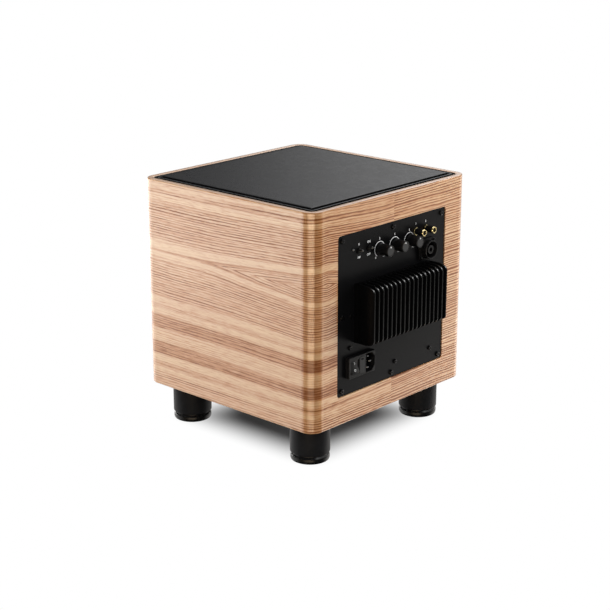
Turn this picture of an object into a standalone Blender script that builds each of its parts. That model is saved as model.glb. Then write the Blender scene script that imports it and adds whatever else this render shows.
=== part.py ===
import math

import bmesh
import bpy
from mathutils import Matrix

for item in list(bpy.data.objects):
    bpy.data.objects.remove(item, do_unlink=True)

# Gap left between neighbouring pieces
FIT_GAP = 0.0003

# Cabinet
CABINET_WIDTH = 0.290
CABINET_DEPTH = 0.286
CABINET_HEIGHT = 0.268
CORNER_RADIUS = 0.0165
INNER_RADIUS = 0.004
EDGE_EASE = 0.001
WALL_THICKNESS = 0.018
TOP_BOARD = 0.016
BAFFLE_THICKNESS = 0.018

# Leather top panel in the rim of the cabinet
RIM_WIDTH = 0.0082
RECESS_DEPTH = 0.012
PANEL_GAP = 0.0042
PANEL_ROLL = 0.0036
PANEL_GROOVE = 0.0016
PANEL_GROOVE_DEPTH = 0.0014
PANEL_RAISE = 0.0012
PANEL_SHOULDER = 0.0011

# Feet
FOOT_HEIGHT = 0.051
FOOT_INSET = 0.040
FOOT_RADIUS = 0.0246
FOOT_BASE_HEIGHT = 0.010
FOOT_BASE_LIP = 0.0008
FOOT_STUD_RADIUS = 0.004
FOOT_STUD_LENGTH = 0.014
FOOT_SPIGOT_RADIUS = 0.009
FOOT_SPIGOT_HEIGHT = 0.006

# Amplifier plate, its gasket and its eight screws
PLATE_WIDTH = 0.202
PLATE_HEIGHT = 0.198
PLATE_THICKNESS = 0.003
PLATE_RADIUS = 0.004
PLATE_RECESS = 0.001
PLATE_MARGIN = 0.0005
APERTURE_WIDTH = 0.176
APERTURE_HEIGHT = 0.174
GASKET_THICKNESS = 0.0015
SCREW_EDGE_X = 0.008
SCREW_EDGE_Z = 0.0065
SCREW_RADIUS = 0.0016
SCREW_BITE = 0.009
SCREW_HEAD_RADIUS = 0.0033
SCREW_HEAD_HEIGHT = 0.0018
SCREW_SOCKET = 0.0015

# Heat sink
HEAT_SINK_REACH = 0.029
HEAT_SINK_WIDTH = 0.1406
HEAT_SINK_HEIGHT = 0.073
HEAT_SINK_BASE = 0.005
FIN_COUNT = 18
FIN_THICKNESS = 0.003
FIN_TIP = 0.0024
FIN_CURVE_DEPTH = 0.013
FIN_CURVE_DROP = 0.007

# Boards inside the plate
STANDOFF_HEIGHT = 0.010
STANDOFF_RADIUS = 0.003
BOARD_WIDTH = 0.138
BOARD_HEIGHT = 0.074
BOARD_THICKNESS = 0.0016
BOARD_CORNER = 0.005
CAPACITOR_RADIUS = 0.011
CAPACITOR_LENGTH = 0.030
CORE_WIDTH = 0.042
CORE_HEIGHT = 0.036
CORE_DEPTH = 0.030
WINDING_OVERHANG = 0.005
CONTROL_BOARD_WIDTH = 0.152
CONTROL_BOARD_HEIGHT = 0.020
CONTROL_BOARD_X = 0.0045
CONTROL_BOARD_Z = 0.0757

# Controls, placed from the centre of the plate
KNOB_ROW_X = -0.003
KNOB_PITCH = 0.028
KNOB_ROW_Z = 0.070
KNOB_RADIUS = 0.0073
KNOB_TAPER = 0.0003
KNOB_REACH = 0.0175
KNOB_STANDOFF = 0.0008
KNOB_POINTER = 0.0007
POT_RADIUS = 0.0078
POT_DEPTH = 0.009
BUSHING_RADIUS = 0.0045
BUSHING_LENGTH = 0.0045
SHAFT_RADIUS = 0.003
SHAFT_LENGTH = 0.0125
TOGGLE_X = (0.0632, 0.0452)
TOGGLE_Z = 0.075
TOGGLE_TILT = math.radians(13)
TOGGLE_BUSHING = 0.003
TOGGLE_NECK = 0.0011
TOGGLE_TIP = 0.0014
TOGGLE_REACH = 0.0068
TOGGLE_BODY_WIDTH = 0.008
TOGGLE_BODY_HEIGHT = 0.012
LAMP_X = 0.0738
LAMP_Z = 0.0782
LAMP_RADIUS = 0.0015
PHONO_X = (-0.0434, -0.0631)
PHONO_Z = 0.0785
PHONO_RADIUS = 0.00415
PHONO_WALL = 0.0009
PHONO_REACH = 0.014
PHONO_NUT = 0.0056
PHONO_BACK = 0.0055
PHONO_PIN_HOLE = 0.00165

# Twist-lock speaker connector
SOCKET_X = -0.064
SOCKET_Z = 0.0525
SOCKET_WIDTH = 0.031
SOCKET_HEIGHT = 0.026
SOCKET_FLANGE = 0.0025
SOCKET_RADIUS = 0.012
SOCKET_WALL = 0.0016
SOCKET_POST = 0.0056
SOCKET_POST_HOLE = 0.0027
SOCKET_REACH = 0.010
SOCKET_DEPTH = 0.016
SOCKET_HOLE = 0.0016

# Mains module
INLET_X = 0.0615
INLET_Z = -0.0651
INLET_WIDTH = 0.0484
INLET_HEIGHT = 0.0266
INLET_REACH = 0.006
INLET_DEPTH = 0.028
INLET_LIP = 0.0013
CAVITY_X = -0.0148
CAVITY_WIDTH = 0.0162
CAVITY_HEIGHT = 0.0236
CAVITY_DEPTH = 0.0165
CAVITY_CUT = 0.0055
PIN_WIDTH = 0.004
PIN_THICKNESS = 0.002
PIN_SPREAD = 0.007
PIN_OFFSET = 0.0022
PIN_SHORT = 0.002
ROCKER_X = 0.0134
ROCKER_WIDTH = 0.0138
ROCKER_HEIGHT = 0.0168
ROCKER_TILT = math.radians(8)
ROCKER_PIVOT = 0.002
FUSE_X = 0.0006
FUSE_DRAWER_WIDTH = 0.0084
FUSE_DRAWER_HEIGHT = 0.0200
FUSE_TRAY_HEIGHT = 0.0090
FUSE_DRAWER_DEPTH = 0.0255
FUSE_FRONT = 0.002
FUSE_LEDGE = 0.0005
FUSE_RADIUS = 0.0025
FUSE_LENGTH = 0.020

# Woofer, measured upwards from the underside of the baffle
FLANGE_RADIUS = 0.105
FLANGE_THICKNESS = 0.0045
FLANGE_RECESS = 0.0015
BASKET_MOUTH = 0.0875
BASKET_NECK = 0.057
BASKET_HEIGHT = 0.0615
BASKET_WALL = 0.0034
BASKET_SPOKES = 6
SPOKE_ANGLE = math.radians(17)
SHELF_HEIGHT = 0.0495
SHELF_RADIUS = 0.048
CONE_RADIUS = 0.0765
CONE_RIM = 0.0062
CONE_DEPTH = 0.034
CONE_WALL = 0.0016
CAP_RADIUS = 0.034
CAP_RISE = 0.011
CAP_WALL = 0.0013
SURROUND_WALL = 0.0017
SURROUND_LIP = 0.0105
COIL_RADIUS = 0.0192
COIL_WALL = 0.0008
COIL_WINDING = 0.0013
COIL_WINDING_HEIGHT = 0.014
COIL_TOP = 0.074
MAGNET_GAP = 0.0011
TOP_PLATE_RADIUS = 0.050
TOP_PLATE_THICKNESS = 0.008
MAGNET_RADIUS = 0.056
MAGNET_BORE = 0.030
MAGNET_HEIGHT = 0.018
YOKE_THICKNESS = 0.008
SPIDER_WALL = 0.0009
SPIDER_WAVE = 0.0014

# Places that follow from the sizes above
CENTRE_Y = -HEAT_SINK_REACH / 2
REAR_Y = CENTRE_Y + CABINET_DEPTH / 2
FACE_Y = REAR_Y - PLATE_RECESS
TOP_Z = FOOT_HEIGHT + CABINET_HEIGHT
PLATE_Z = FOOT_HEIGHT + CABINET_HEIGHT / 2
PLATE_BACK = -PLATE_THICKNESS
REBATE_DEPTH = PLATE_THICKNESS + GASKET_THICKNESS + 2 * FIT_GAP
BOARD_FACE = PLATE_BACK - STANDOFF_HEIGHT - FIT_GAP
KNOB_X = tuple(KNOB_ROW_X + KNOB_PITCH * step for step in (1, 0, -1))
FEET = {
    "front_left": (-1, -1),
    "front_right": (1, -1),
    "rear_left": (-1, 1),
    "rear_right": (1, 1),
}
SMOOTH_ANGLE = 35.0  # degrees; rounder than this is shaded smooth
SCREW_SPOTS = [(x, z) for x in (-1, 0, 1) for z in (-1, 0, 1) if x or z]
# Pieces on the plate are drawn facing up, then turned to face the rear
TO_REAR = Matrix(((-1, 0, 0), (0, 0, 1), (0, 1, 0))).to_4x4()


def paint(name, colour, roughness, metallic=0.0):
    made = bpy.data.materials.new(name)
    made.use_nodes = True
    shader = made.node_tree.nodes["Principled BSDF"]
    shader.inputs["Base Color"].default_value = (*colour, 1.0)
    shader.inputs["Roughness"].default_value = roughness
    shader.inputs["Metallic"].default_value = metallic
    return made


def make(name, form, material=None, place=(0, 0, 0), turn=None):
    if turn is not None:
        bmesh.ops.transform(form, matrix=turn, verts=form.verts)
    bmesh.ops.recalc_face_normals(form, faces=form.faces)
    mesh = bpy.data.meshes.new(name)
    form.to_mesh(mesh)
    form.free()
    mesh.shade_smooth()
    mesh.set_sharp_from_angle(angle=math.radians(SMOOTH_ANGLE))
    made = bpy.data.objects.new(name, mesh)
    made.location = place
    bpy.context.scene.collection.objects.link(made)
    if material is None:
        made.hide_render = True
        made.display_type = "WIRE"
    else:
        mesh.materials.append(material)
    return made


def combine(target, other, operation):
    step = target.modifiers.new(operation.title(), "BOOLEAN")
    step.operation = operation
    step.solver = "EXACT"
    step.object = other


def cut(target, other):
    combine(target, other, "DIFFERENCE")


def join(target, other):
    combine(target, other, "UNION")


def outline(half_x, half_y, radius, steps):
    spots = []
    for corner, (sx, sy) in enumerate(((1, 1), (-1, 1), (-1, -1), (1, -1))):
        for step in range(steps + 1):
            angle = math.pi / 2 * (corner + step / steps)
            x = sx * (half_x - radius) + radius * math.cos(angle)
            y = sy * (half_y - radius) + radius * math.sin(angle)
            spots.append((x, y))
    return spots


def stack(levels, steps=5, form=None, centre=(0, 0)):
    """Rounded rectangles (half x, half y, radius, height) extruded one onto the next."""
    form = form or bmesh.new()
    cap = None
    for rise, (half_x, half_y, radius, height) in enumerate(levels):
        spots = outline(half_x, half_y, radius, steps)
        if cap is None:
            corners = [form.verts.new((0, 0, 0)) for spot in spots]
            cap = form.faces.new(corners)
        else:
            below = cap
            grown = bmesh.ops.extrude_face_region(form, geom=[below])["geom"]
            cap = next(part for part in grown if isinstance(part, bmesh.types.BMFace))
            if rise > 1:
                bmesh.ops.delete(form, geom=[below], context="FACES_ONLY")
        for corner, (x, y) in zip(cap.verts, spots):
            corner.co = (x + centre[0], y + centre[1], height)
    return form


def prism(spots, low, high, axis="Z", form=None):
    """A flat outline pushed from low to high along one axis."""
    form = form or bmesh.new()
    spin = {"Z": (0, 1, 2), "X": (1, 2, 0)}[axis]
    corners = []
    for spot in spots:
        place = [0, 0, 0]
        for value, index in zip((*spot, low), spin):
            place[index] = value
        corners.append(form.verts.new(place))
    face = form.faces.new(corners)
    grown = bmesh.ops.extrude_face_region(form, geom=[face])["geom"]
    shift = [0, 0, 0]
    shift[spin[2]] = high - low
    moved = [part for part in grown if isinstance(part, bmesh.types.BMVert)]
    bmesh.ops.translate(form, vec=shift, verts=moved)
    return form


def rod(radius, low, high, steps=24, form=None, centre=(0, 0), tip=None):
    form = form or bmesh.new()
    end = radius if tip is None else tip
    middle = Matrix.Translation((*centre, (low + high) / 2))
    bmesh.ops.create_cone(
        form, cap_ends=True, segments=steps, radius1=radius, radius2=end,
        depth=high - low, matrix=middle,
    )
    return form


def revolve(profile, steps=40, angle=math.tau, start=0.0, form=None):
    """A closed outline of (radius, height) turned round the upright axis."""
    form = form or bmesh.new()
    corners = []
    for radius, height in profile:
        place = (radius * math.cos(start), radius * math.sin(start), height)
        corners.append(form.verts.new(place))
    if angle < math.tau:
        geometry = corners + [form.faces.new(corners)]
    else:
        pairs = list(zip(corners, corners[1:] + corners[:1]))
        sides = [pair for pair in pairs if max(corner.co.xy.length for corner in pair) > 1e-9]
        geometry = corners + [form.edges.new(pair) for pair in sides]
    bmesh.ops.spin(
        form, geom=geometry, cent=(0, 0, 0), axis=(0, 0, 1), steps=steps, angle=angle,
    )
    bmesh.ops.remove_doubles(form, verts=form.verts, dist=1e-6)
    bmesh.ops.dissolve_degenerate(form, edges=form.edges, dist=1e-7)
    return form


def on_plate(x, z):
    return (x, FACE_Y, PLATE_Z + z)


WOOD = paint("walnut veneer", (0.62, 0.40, 0.24), 0.3)
BOARD_BLACK = paint("black board", (0.03, 0.03, 0.03), 0.7)
LEATHER = paint("black leather", (0.03, 0.03, 0.032), 0.5)
BLACK_METAL = paint("black anodised metal", (0.02, 0.02, 0.022), 0.45, 0.6)
PLATE_BLACK = paint("black coated plate", (0.035, 0.035, 0.037), 0.55)
PLASTIC = paint("black plastic", (0.03, 0.03, 0.032), 0.4)
GREY_PLASTIC = paint("grey plastic", (0.06, 0.06, 0.062), 0.45)
FOAM = paint("foam", (0.04, 0.04, 0.04), 0.9)
GOLD = paint("gold plate", (0.75, 0.62, 0.28), 0.25, 1.0)
NICKEL = paint("nickel", (0.62, 0.62, 0.60), 0.3, 1.0)
STEEL = paint("zinc steel", (0.5, 0.5, 0.52), 0.4, 1.0)
FERRITE = paint("ferrite", (0.05, 0.05, 0.055), 0.6)
PAPER = paint("black paper cone", (0.035, 0.035, 0.035), 0.8)
RUBBER = paint("rubber", (0.02, 0.02, 0.02), 0.75)
CLOTH = paint("spider cloth", (0.55, 0.38, 0.16), 0.85)
COPPER = paint("copper winding", (0.65, 0.30, 0.14), 0.35, 1.0)
FIBRE = paint("green board", (0.03, 0.16, 0.07), 0.5)
LENS = paint("clear lamp", (0.8, 0.85, 0.85), 0.15)
GLASS = paint("fuse glass", (0.75, 0.8, 0.8), 0.1)


def screw_places():
    across = PLATE_WIDTH / 2 - SCREW_EDGE_X
    up = PLATE_HEIGHT / 2 - SCREW_EDGE_Z
    return [(x * across, z * up) for x, z in SCREW_SPOTS]


def build_cabinet():
    half_x = CABINET_WIDTH / 2
    half_y = CABINET_DEPTH / 2
    levels = []
    for inset, height in (
        (EDGE_EASE, FOOT_HEIGHT),
        (0, FOOT_HEIGHT + EDGE_EASE),
        (0, TOP_Z - EDGE_EASE),
        (EDGE_EASE * 0.3, TOP_Z - EDGE_EASE * 0.3),
        (EDGE_EASE, TOP_Z),
    ):
        levels.append((half_x - inset, half_y - inset, CORNER_RADIUS - inset, height))
    centre = (0, CENTRE_Y)
    shell = make("cabinet_shell", stack(levels, 7, centre=centre), WOOD)

    ceiling = TOP_Z - RECESS_DEPTH - TOP_BOARD
    inside_x = half_x - WALL_THICKNESS
    inside_y = half_y - WALL_THICKNESS
    rim_x = half_x - RIM_WIDTH
    rim_y = half_y - RIM_WIDTH
    rim_radius = CORNER_RADIUS - RIM_WIDTH
    hollow = stack(
        [(inside_x, inside_y, INNER_RADIUS, FOOT_HEIGHT - 0.01),
         (inside_x, inside_y, INNER_RADIUS, ceiling)],
        4, centre=centre,
    )
    stack(
        [(rim_x, rim_y, rim_radius, TOP_Z - RECESS_DEPTH),
         (rim_x, rim_y, rim_radius, TOP_Z + 0.01)],
        6, hollow, centre,
    )
    cut(shell, make("cabinet_hollow", hollow))

    rebate_x = PLATE_WIDTH / 2 + PLATE_MARGIN
    rebate_z = PLATE_HEIGHT / 2 + PLATE_MARGIN
    opening = stack(
        [(APERTURE_WIDTH / 2, APERTURE_HEIGHT / 2, 0.006, -WALL_THICKNESS - 0.01),
         (APERTURE_WIDTH / 2, APERTURE_HEIGHT / 2, 0.006, -REBATE_DEPTH),
         (rebate_x, rebate_z, PLATE_RADIUS + PLATE_MARGIN, -REBATE_DEPTH),
         (rebate_x, rebate_z, PLATE_RADIUS + PLATE_MARGIN, PLATE_RECESS + 0.01)],
        5,
    )
    cut(shell, make("cabinet_opening", opening, None, on_plate(0, 0), TO_REAR))
    pilots = bmesh.new()
    for x, z in screw_places():
        low = -REBATE_DEPTH - SCREW_BITE - 0.001
        rod(SCREW_RADIUS + FIT_GAP, low, -REBATE_DEPTH + 0.002, 6, pilots, (-x, z))
    cut(shell, make("cabinet_pilots", pilots, None, on_plate(0, 0), TO_REAR))

    fit_x = inside_x - FIT_GAP
    fit_y = inside_y - FIT_GAP
    sheet = [
        (fit_x, fit_y, INNER_RADIUS, FOOT_HEIGHT),
        (fit_x, fit_y, INNER_RADIUS, FOOT_HEIGHT + BAFFLE_THICKNESS),
    ]
    baffle = make("bottom_baffle", stack(sheet, 4, centre=centre), BOARD_BLACK)
    bore = BASKET_MOUTH + BASKET_WALL + 0.003
    step = FLANGE_RECESS + FLANGE_THICKNESS + FIT_GAP
    mouth = [
        (0, -0.01), (FLANGE_RADIUS + FIT_GAP, -0.01), (FLANGE_RADIUS + FIT_GAP, step),
        (bore, step), (bore, BAFFLE_THICKNESS + 0.01), (0, BAFFLE_THICKNESS + 0.01),
    ]
    place = (0, CENTRE_Y, FOOT_HEIGHT)
    cut(baffle, make("baffle_mouth", revolve(mouth, 40), None, place))
    studs = bmesh.new()
    for spot in FEET.values():
        x, y = foot_place(spot)
        rod(FOOT_STUD_RADIUS + FIT_GAP, FOOT_HEIGHT - 0.005,
            FOOT_HEIGHT + BAFFLE_THICKNESS + 0.005, 10, studs, (x, y))
    cut(baffle, make("baffle_studs", studs))

    def panel(inset, height):
        radius = max(rim_radius - inset, 0.002)
        return (rim_x - inset, rim_y - inset, radius, TOP_Z + height)

    roll = PANEL_GAP + PANEL_ROLL
    field = roll + PANEL_GROOVE
    rise = PANEL_RAISE + PANEL_GROOVE_DEPTH
    form = stack([
        panel(PANEL_GAP, FIT_GAP - RECESS_DEPTH),
        panel(PANEL_GAP, -0.0030),
        panel(PANEL_GAP + PANEL_ROLL * 0.10, -0.0014),
        panel(PANEL_GAP + PANEL_ROLL * 0.32, -0.0004),
        panel(PANEL_GAP + PANEL_ROLL * 0.65, 0),
        panel(roll - PANEL_ROLL * 0.08, -PANEL_GROOVE_DEPTH * 0.3),
        panel(roll, -PANEL_GROOVE_DEPTH),
        panel(field, -PANEL_GROOVE_DEPTH),
        panel(field + PANEL_SHOULDER * 0.12, PANEL_RAISE - rise * 0.45),
        panel(field + PANEL_SHOULDER * 0.45, PANEL_RAISE - rise * 0.12),
        panel(field + PANEL_SHOULDER, PANEL_RAISE),
    ], 4, centre=centre)
    make("top_panel", form, LEATHER)


def foot_place(spot):
    x = spot[0] * (CABINET_WIDTH / 2 - FOOT_INSET)
    y = CENTRE_Y + spot[1] * (CABINET_DEPTH / 2 - FOOT_INSET)
    return x, y


def build_feet():
    lip = FOOT_RADIUS + FOOT_BASE_LIP
    base = [
        (0, 0), (FOOT_RADIUS - 0.0035, 0), (FOOT_RADIUS - 0.0012, 0.0010),
        (FOOT_RADIUS - 0.0002, 0.0026), (lip, FOOT_BASE_HEIGHT - 0.0028),
        (lip, FOOT_BASE_HEIGHT - 0.0020), (FOOT_RADIUS - 0.0014, FOOT_BASE_HEIGHT - 0.0005),
        (FOOT_RADIUS - 0.0014, FOOT_BASE_HEIGHT), (FOOT_SPIGOT_RADIUS, FOOT_BASE_HEIGHT),
        (FOOT_SPIGOT_RADIUS, FOOT_BASE_HEIGHT + FOOT_SPIGOT_HEIGHT),
        (0, FOOT_BASE_HEIGHT + FOOT_SPIGOT_HEIGHT),
    ]
    low = FOOT_BASE_HEIGHT + FIT_GAP
    high = FOOT_HEIGHT - FIT_GAP
    bore = FOOT_SPIGOT_RADIUS + FIT_GAP
    socket = FOOT_BASE_HEIGHT + FOOT_SPIGOT_HEIGHT + FIT_GAP
    column = [
        (0, socket), (bore, socket), (bore, low), (FOOT_RADIUS - 0.0010, low),
        (FOOT_RADIUS, low + 0.0010), (FOOT_RADIUS, high - 0.0008),
        (FOOT_RADIUS - 0.0008, high), (FOOT_STUD_RADIUS, high),
        (FOOT_STUD_RADIUS, high + FOOT_STUD_LENGTH), (0, high + FOOT_STUD_LENGTH),
    ]
    for name, spot in FEET.items():
        place = (*foot_place(spot), 0)
        make("foot_base_" + name, revolve(base, 20), RUBBER, place)
        make("foot_column_" + name, revolve(column, 20), BLACK_METAL, place)


def build_plate():
    half_x = PLATE_WIDTH / 2
    half_z = PLATE_HEIGHT / 2
    sheet = stack(
        [(half_x, half_z, PLATE_RADIUS, PLATE_BACK),
         (half_x, half_z, PLATE_RADIUS, -0.0003),
         (half_x - 0.0003, half_z - 0.0003, PLATE_RADIUS - 0.0003, 0)],
        5,
    )
    plate = make("amp_plate", sheet, PLATE_BLACK, on_plate(0, 0), TO_REAR)
    pillars = bmesh.new()
    for sx in (-1, 1):
        for sz in (-1, 1):
            x = sx * (BOARD_WIDTH / 2 - BOARD_CORNER)
            z = sz * (BOARD_HEIGHT / 2 - BOARD_CORNER)
            low = PLATE_BACK - STANDOFF_HEIGHT
            rod(STANDOFF_RADIUS, low, PLATE_BACK + 0.001, 8, pillars, (x, z))
    join(plate, make("plate_pillars", pillars, None, on_plate(0, 0), TO_REAR))

    holes = bmesh.new()
    spots = [(x, z, SCREW_RADIUS) for x, z in screw_places()]
    spots += [(x, KNOB_ROW_Z, BUSHING_RADIUS) for x in KNOB_X]
    spots += [(x, TOGGLE_Z, TOGGLE_BUSHING) for x in TOGGLE_X]
    spots += [(x, PHONO_Z, PHONO_RADIUS) for x in PHONO_X]
    spots += [(LAMP_X, LAMP_Z, LAMP_RADIUS), (SOCKET_X, SOCKET_Z, SOCKET_RADIUS)]
    for x, z, radius in spots:
        steps = 24 if radius > 0.01 else 12
        steps = 8 if radius < 0.002 else steps
        rod(radius + FIT_GAP, PLATE_BACK - 0.002, 0.002, steps, holes, (-x, z))
    body_x = INLET_WIDTH / 2 - INLET_LIP + FIT_GAP
    body_z = INLET_HEIGHT / 2 - INLET_LIP + FIT_GAP
    stack(
        [(body_x, body_z, 0.001, PLATE_BACK - 0.002), (body_x, body_z, 0.001, 0.002)],
        2, holes, (-INLET_X, INLET_Z),
    )
    cut(plate, make("plate_holes", holes, None, on_plate(0, 0), TO_REAR))

    high = PLATE_BACK - FIT_GAP
    low = high - GASKET_THICKNESS
    frame = stack([(half_x, half_z, PLATE_RADIUS, low), (half_x, half_z, PLATE_RADIUS, high)])
    gasket = make("plate_gasket", frame, FOAM, on_plate(0, 0), TO_REAR)
    window = stack(
        [(APERTURE_WIDTH / 2, APERTURE_HEIGHT / 2, 0.006, low - 0.002),
         (APERTURE_WIDTH / 2, APERTURE_HEIGHT / 2, 0.006, high + 0.002)],
        4,
    )
    for x, z in screw_places():
        rod(SCREW_RADIUS + FIT_GAP, low - 0.002, high + 0.002, 6, window, (-x, z))
    cut(gasket, make("gasket_window", window, None, on_plate(0, 0), TO_REAR))

    head = FIT_GAP + SCREW_HEAD_HEIGHT
    tip = -REBATE_DEPTH - SCREW_BITE
    sink = head - 0.0011
    profile = [
        (0, tip), (SCREW_RADIUS * 0.3, tip), (SCREW_RADIUS, tip + 0.0025),
        (SCREW_RADIUS, FIT_GAP), (SCREW_HEAD_RADIUS, FIT_GAP),
        (SCREW_HEAD_RADIUS, FIT_GAP + SCREW_HEAD_HEIGHT * 0.45),
        (SCREW_HEAD_RADIUS * 0.72, head), (SCREW_SOCKET, head), (SCREW_SOCKET, sink), (0, sink),
    ]
    for index, (x, z) in enumerate(screw_places(), 1):
        made = revolve(profile, 8)
        make(f"plate_screw_{index}", made, BLACK_METAL, on_plate(x, z), TO_REAR)


def build_heat_sink():
    depth = HEAT_SINK_REACH + PLATE_RECESS - FIT_GAP
    half_x = HEAT_SINK_WIDTH / 2
    half_z = HEAT_SINK_HEIGHT / 2
    pitch = (HEAT_SINK_WIDTH - FIN_THICKNESS) / (FIN_COUNT - 1)
    comb = [(-half_x, 0), (half_x, 0)]
    for fin in reversed(range(FIN_COUNT)):
        middle = pitch * (fin - (FIN_COUNT - 1) / 2)
        for side, width, reach in (
            (1, FIN_THICKNESS, HEAT_SINK_BASE), (1, FIN_TIP, depth),
            (-1, FIN_TIP, depth), (-1, FIN_THICKNESS, HEAT_SINK_BASE),
        ):
            comb.append((middle + side * width / 2, reach))
    place = (0, FACE_Y + FIT_GAP, PLATE_Z)
    sink = make("heat_sink", prism(comb, -half_z, half_z), BLACK_METAL, place)
    edge = [(-0.01, half_z)]
    turns = 3
    for step in range(turns + 1):
        angle = math.pi / 2 * step / turns
        y = depth - FIN_CURVE_DEPTH * (1 - math.sin(angle))
        z = half_z - FIN_CURVE_DROP * (1 - math.cos(angle))
        edge.append((y, z))
    side = [(y, -z) for y, z in edge] + list(reversed(edge))
    block = prism(side, -half_x - 0.01, half_x + 0.01, "X")
    combine(sink, make("heat_sink_sides", block, None, place), "INTERSECT")


def build_boards():
    high = BOARD_FACE
    low = BOARD_FACE - BOARD_THICKNESS
    half_x = BOARD_WIDTH / 2
    half_z = BOARD_HEIGHT / 2
    sheet = stack([(half_x, half_z, 0.002, low), (half_x, half_z, 0.002, high)], 3)
    board = make("amp_board", sheet, FIBRE, on_plate(0, 0), TO_REAR)
    cans = bmesh.new()
    for z in (-1, 1):
        spot = (half_x - 2.2 * CAPACITOR_RADIUS, z * 1.15 * CAPACITOR_RADIUS)
        rod(CAPACITOR_RADIUS, low - CAPACITOR_LENGTH, low + BOARD_THICKNESS / 2, 14, cans, spot)
    join(board, make("board_cans", cans, None, on_plate(0, 0), TO_REAR))

    top = low - FIT_GAP
    back = top - CORE_DEPTH
    step = CORE_DEPTH * 0.22
    wide_x = CORE_WIDTH / 2
    wide_z = CORE_HEIGHT / 2
    coil_x = wide_x - WINDING_OVERHANG
    coil_z = wide_z + WINDING_OVERHANG
    core = stack([(wide_x, wide_z, 0.001, back), (wide_x, wide_z, 0.001, top)], 2)
    place = on_plate(BOARD_WIDTH * 0.12, 0)
    core = make("power_transformer", core, FERRITE, place, TO_REAR)
    coil = stack(
        [(coil_x, coil_z, 0.004, back + step), (coil_x, coil_z, 0.004, top - step)], 4,
    )
    join(core, make("transformer_coil", coil, None, place, TO_REAR))

    high = PLATE_BACK - FIT_GAP - POT_DEPTH - FIT_GAP
    low = high - BOARD_THICKNESS
    half_x = CONTROL_BOARD_WIDTH / 2
    half_z = CONTROL_BOARD_HEIGHT / 2
    sheet = stack([(half_x, half_z, 0.001, low), (half_x, half_z, 0.001, high)], 2)
    place = on_plate(CONTROL_BOARD_X, CONTROL_BOARD_Z)
    make("control_board", sheet, FIBRE, place, TO_REAR)


def build_knobs():
    back = PLATE_BACK - FIT_GAP
    bore = SHAFT_RADIUS + FIT_GAP
    body = [
        (0, back - POT_DEPTH), (POT_RADIUS, back - POT_DEPTH), (POT_RADIUS, back - 0.001),
        (POT_RADIUS - 0.001, back), (BUSHING_RADIUS, back),
        (BUSHING_RADIUS, BUSHING_LENGTH + PLATE_BACK), (bore, BUSHING_LENGTH + PLATE_BACK),
        (bore, back - POT_DEPTH * 0.6), (0, back - POT_DEPTH * 0.6),
    ]
    shaft_low = back - POT_DEPTH * 0.6 + FIT_GAP
    shaft = [
        (0, shaft_low), (SHAFT_RADIUS, shaft_low), (SHAFT_RADIUS, SHAFT_LENGTH - 0.0006),
        (SHAFT_RADIUS - 0.0006, SHAFT_LENGTH), (0, SHAFT_LENGTH),
    ]
    hub = SHAFT_LENGTH + FIT_GAP
    skirt = BUSHING_RADIUS + FIT_GAP
    well = BUSHING_LENGTH + PLATE_BACK + FIT_GAP
    front = KNOB_REACH
    wide = KNOB_RADIUS
    thin = KNOB_RADIUS - KNOB_TAPER
    knob = [
        (0, hub), (bore, hub), (bore, well), (skirt, well), (skirt, KNOB_STANDOFF),
        (wide, KNOB_STANDOFF), (thin, front - 0.0005), (thin - 0.0005, front), (0, front),
    ]
    for name, x in zip(("crossover", "line", "speaker"), KNOB_X):
        place = on_plate(x, KNOB_ROW_Z)
        make("pot_body_" + name, revolve(body, 12), GREY_PLASTIC, place, TO_REAR)
        make("pot_shaft_" + name, revolve(shaft, 10), NICKEL, place, TO_REAR)
        cap = make("knob_" + name, revolve(knob, 22), PLASTIC, place, TO_REAR)
        spot = (0, KNOB_RADIUS - 3.2 * KNOB_POINTER)
        dot = rod(KNOB_POINTER, front - 0.0004, front + 0.001, 12, centre=spot)
        cut(cap, make("knob_dot_" + name, dot, None, place, TO_REAR))


def build_toggles():
    back = PLATE_BACK - FIT_GAP
    ball = TOGGLE_NECK * 1.5
    bore = ball + FIT_GAP
    flare = TOGGLE_NECK + math.tan(TOGGLE_TILT) * 0.0022 + FIT_GAP
    sleeve = [
        (bore, back - 0.003), (TOGGLE_BUSHING, back - 0.003), (TOGGLE_BUSHING, 0.0016),
        (TOGGLE_BUSHING - 0.0004, 0.0020), (flare, 0.0020), (bore, 0.0006),
    ]
    lever = [(0, -ball)]
    for step in range(1, 6):
        angle = -math.pi / 2 + math.pi * step / 7
        lever.append((ball * math.cos(angle), ball * math.sin(angle)))
    lever += [
        (TOGGLE_NECK, ball * 0.95), (TOGGLE_TIP, TOGGLE_REACH - 0.0012),
        (TOGGLE_TIP * 0.75, TOGGLE_REACH - 0.0003), (0, TOGGLE_REACH),
    ]
    for name, x in zip(("phase", "mode"), TOGGLE_X):
        place = on_plate(x, TOGGLE_Z)
        half_x = TOGGLE_BODY_WIDTH / 2
        half_z = TOGGLE_BODY_HEIGHT / 2
        block = stack(
            [(half_x, half_z, 0.0006, back - POT_DEPTH), (half_x, half_z, 0.0006, back)], 1,
        )
        body = make("toggle_body_" + name, block, GREY_PLASTIC, place, TO_REAR)
        well = rod(bore, back - 0.0045, 0.002, 12)
        cut(body, make("toggle_well_" + name, well, None, place, TO_REAR))
        sleeve_form = revolve(sleeve, 14)
        join(body, make("toggle_sleeve_" + name, sleeve_form, None, place, TO_REAR))
        tilt = Matrix.Rotation(TOGGLE_TILT, 4, "X")
        made = revolve(lever, 10)
        make("toggle_lever_" + name, made, NICKEL, place, tilt @ TO_REAR)


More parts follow.
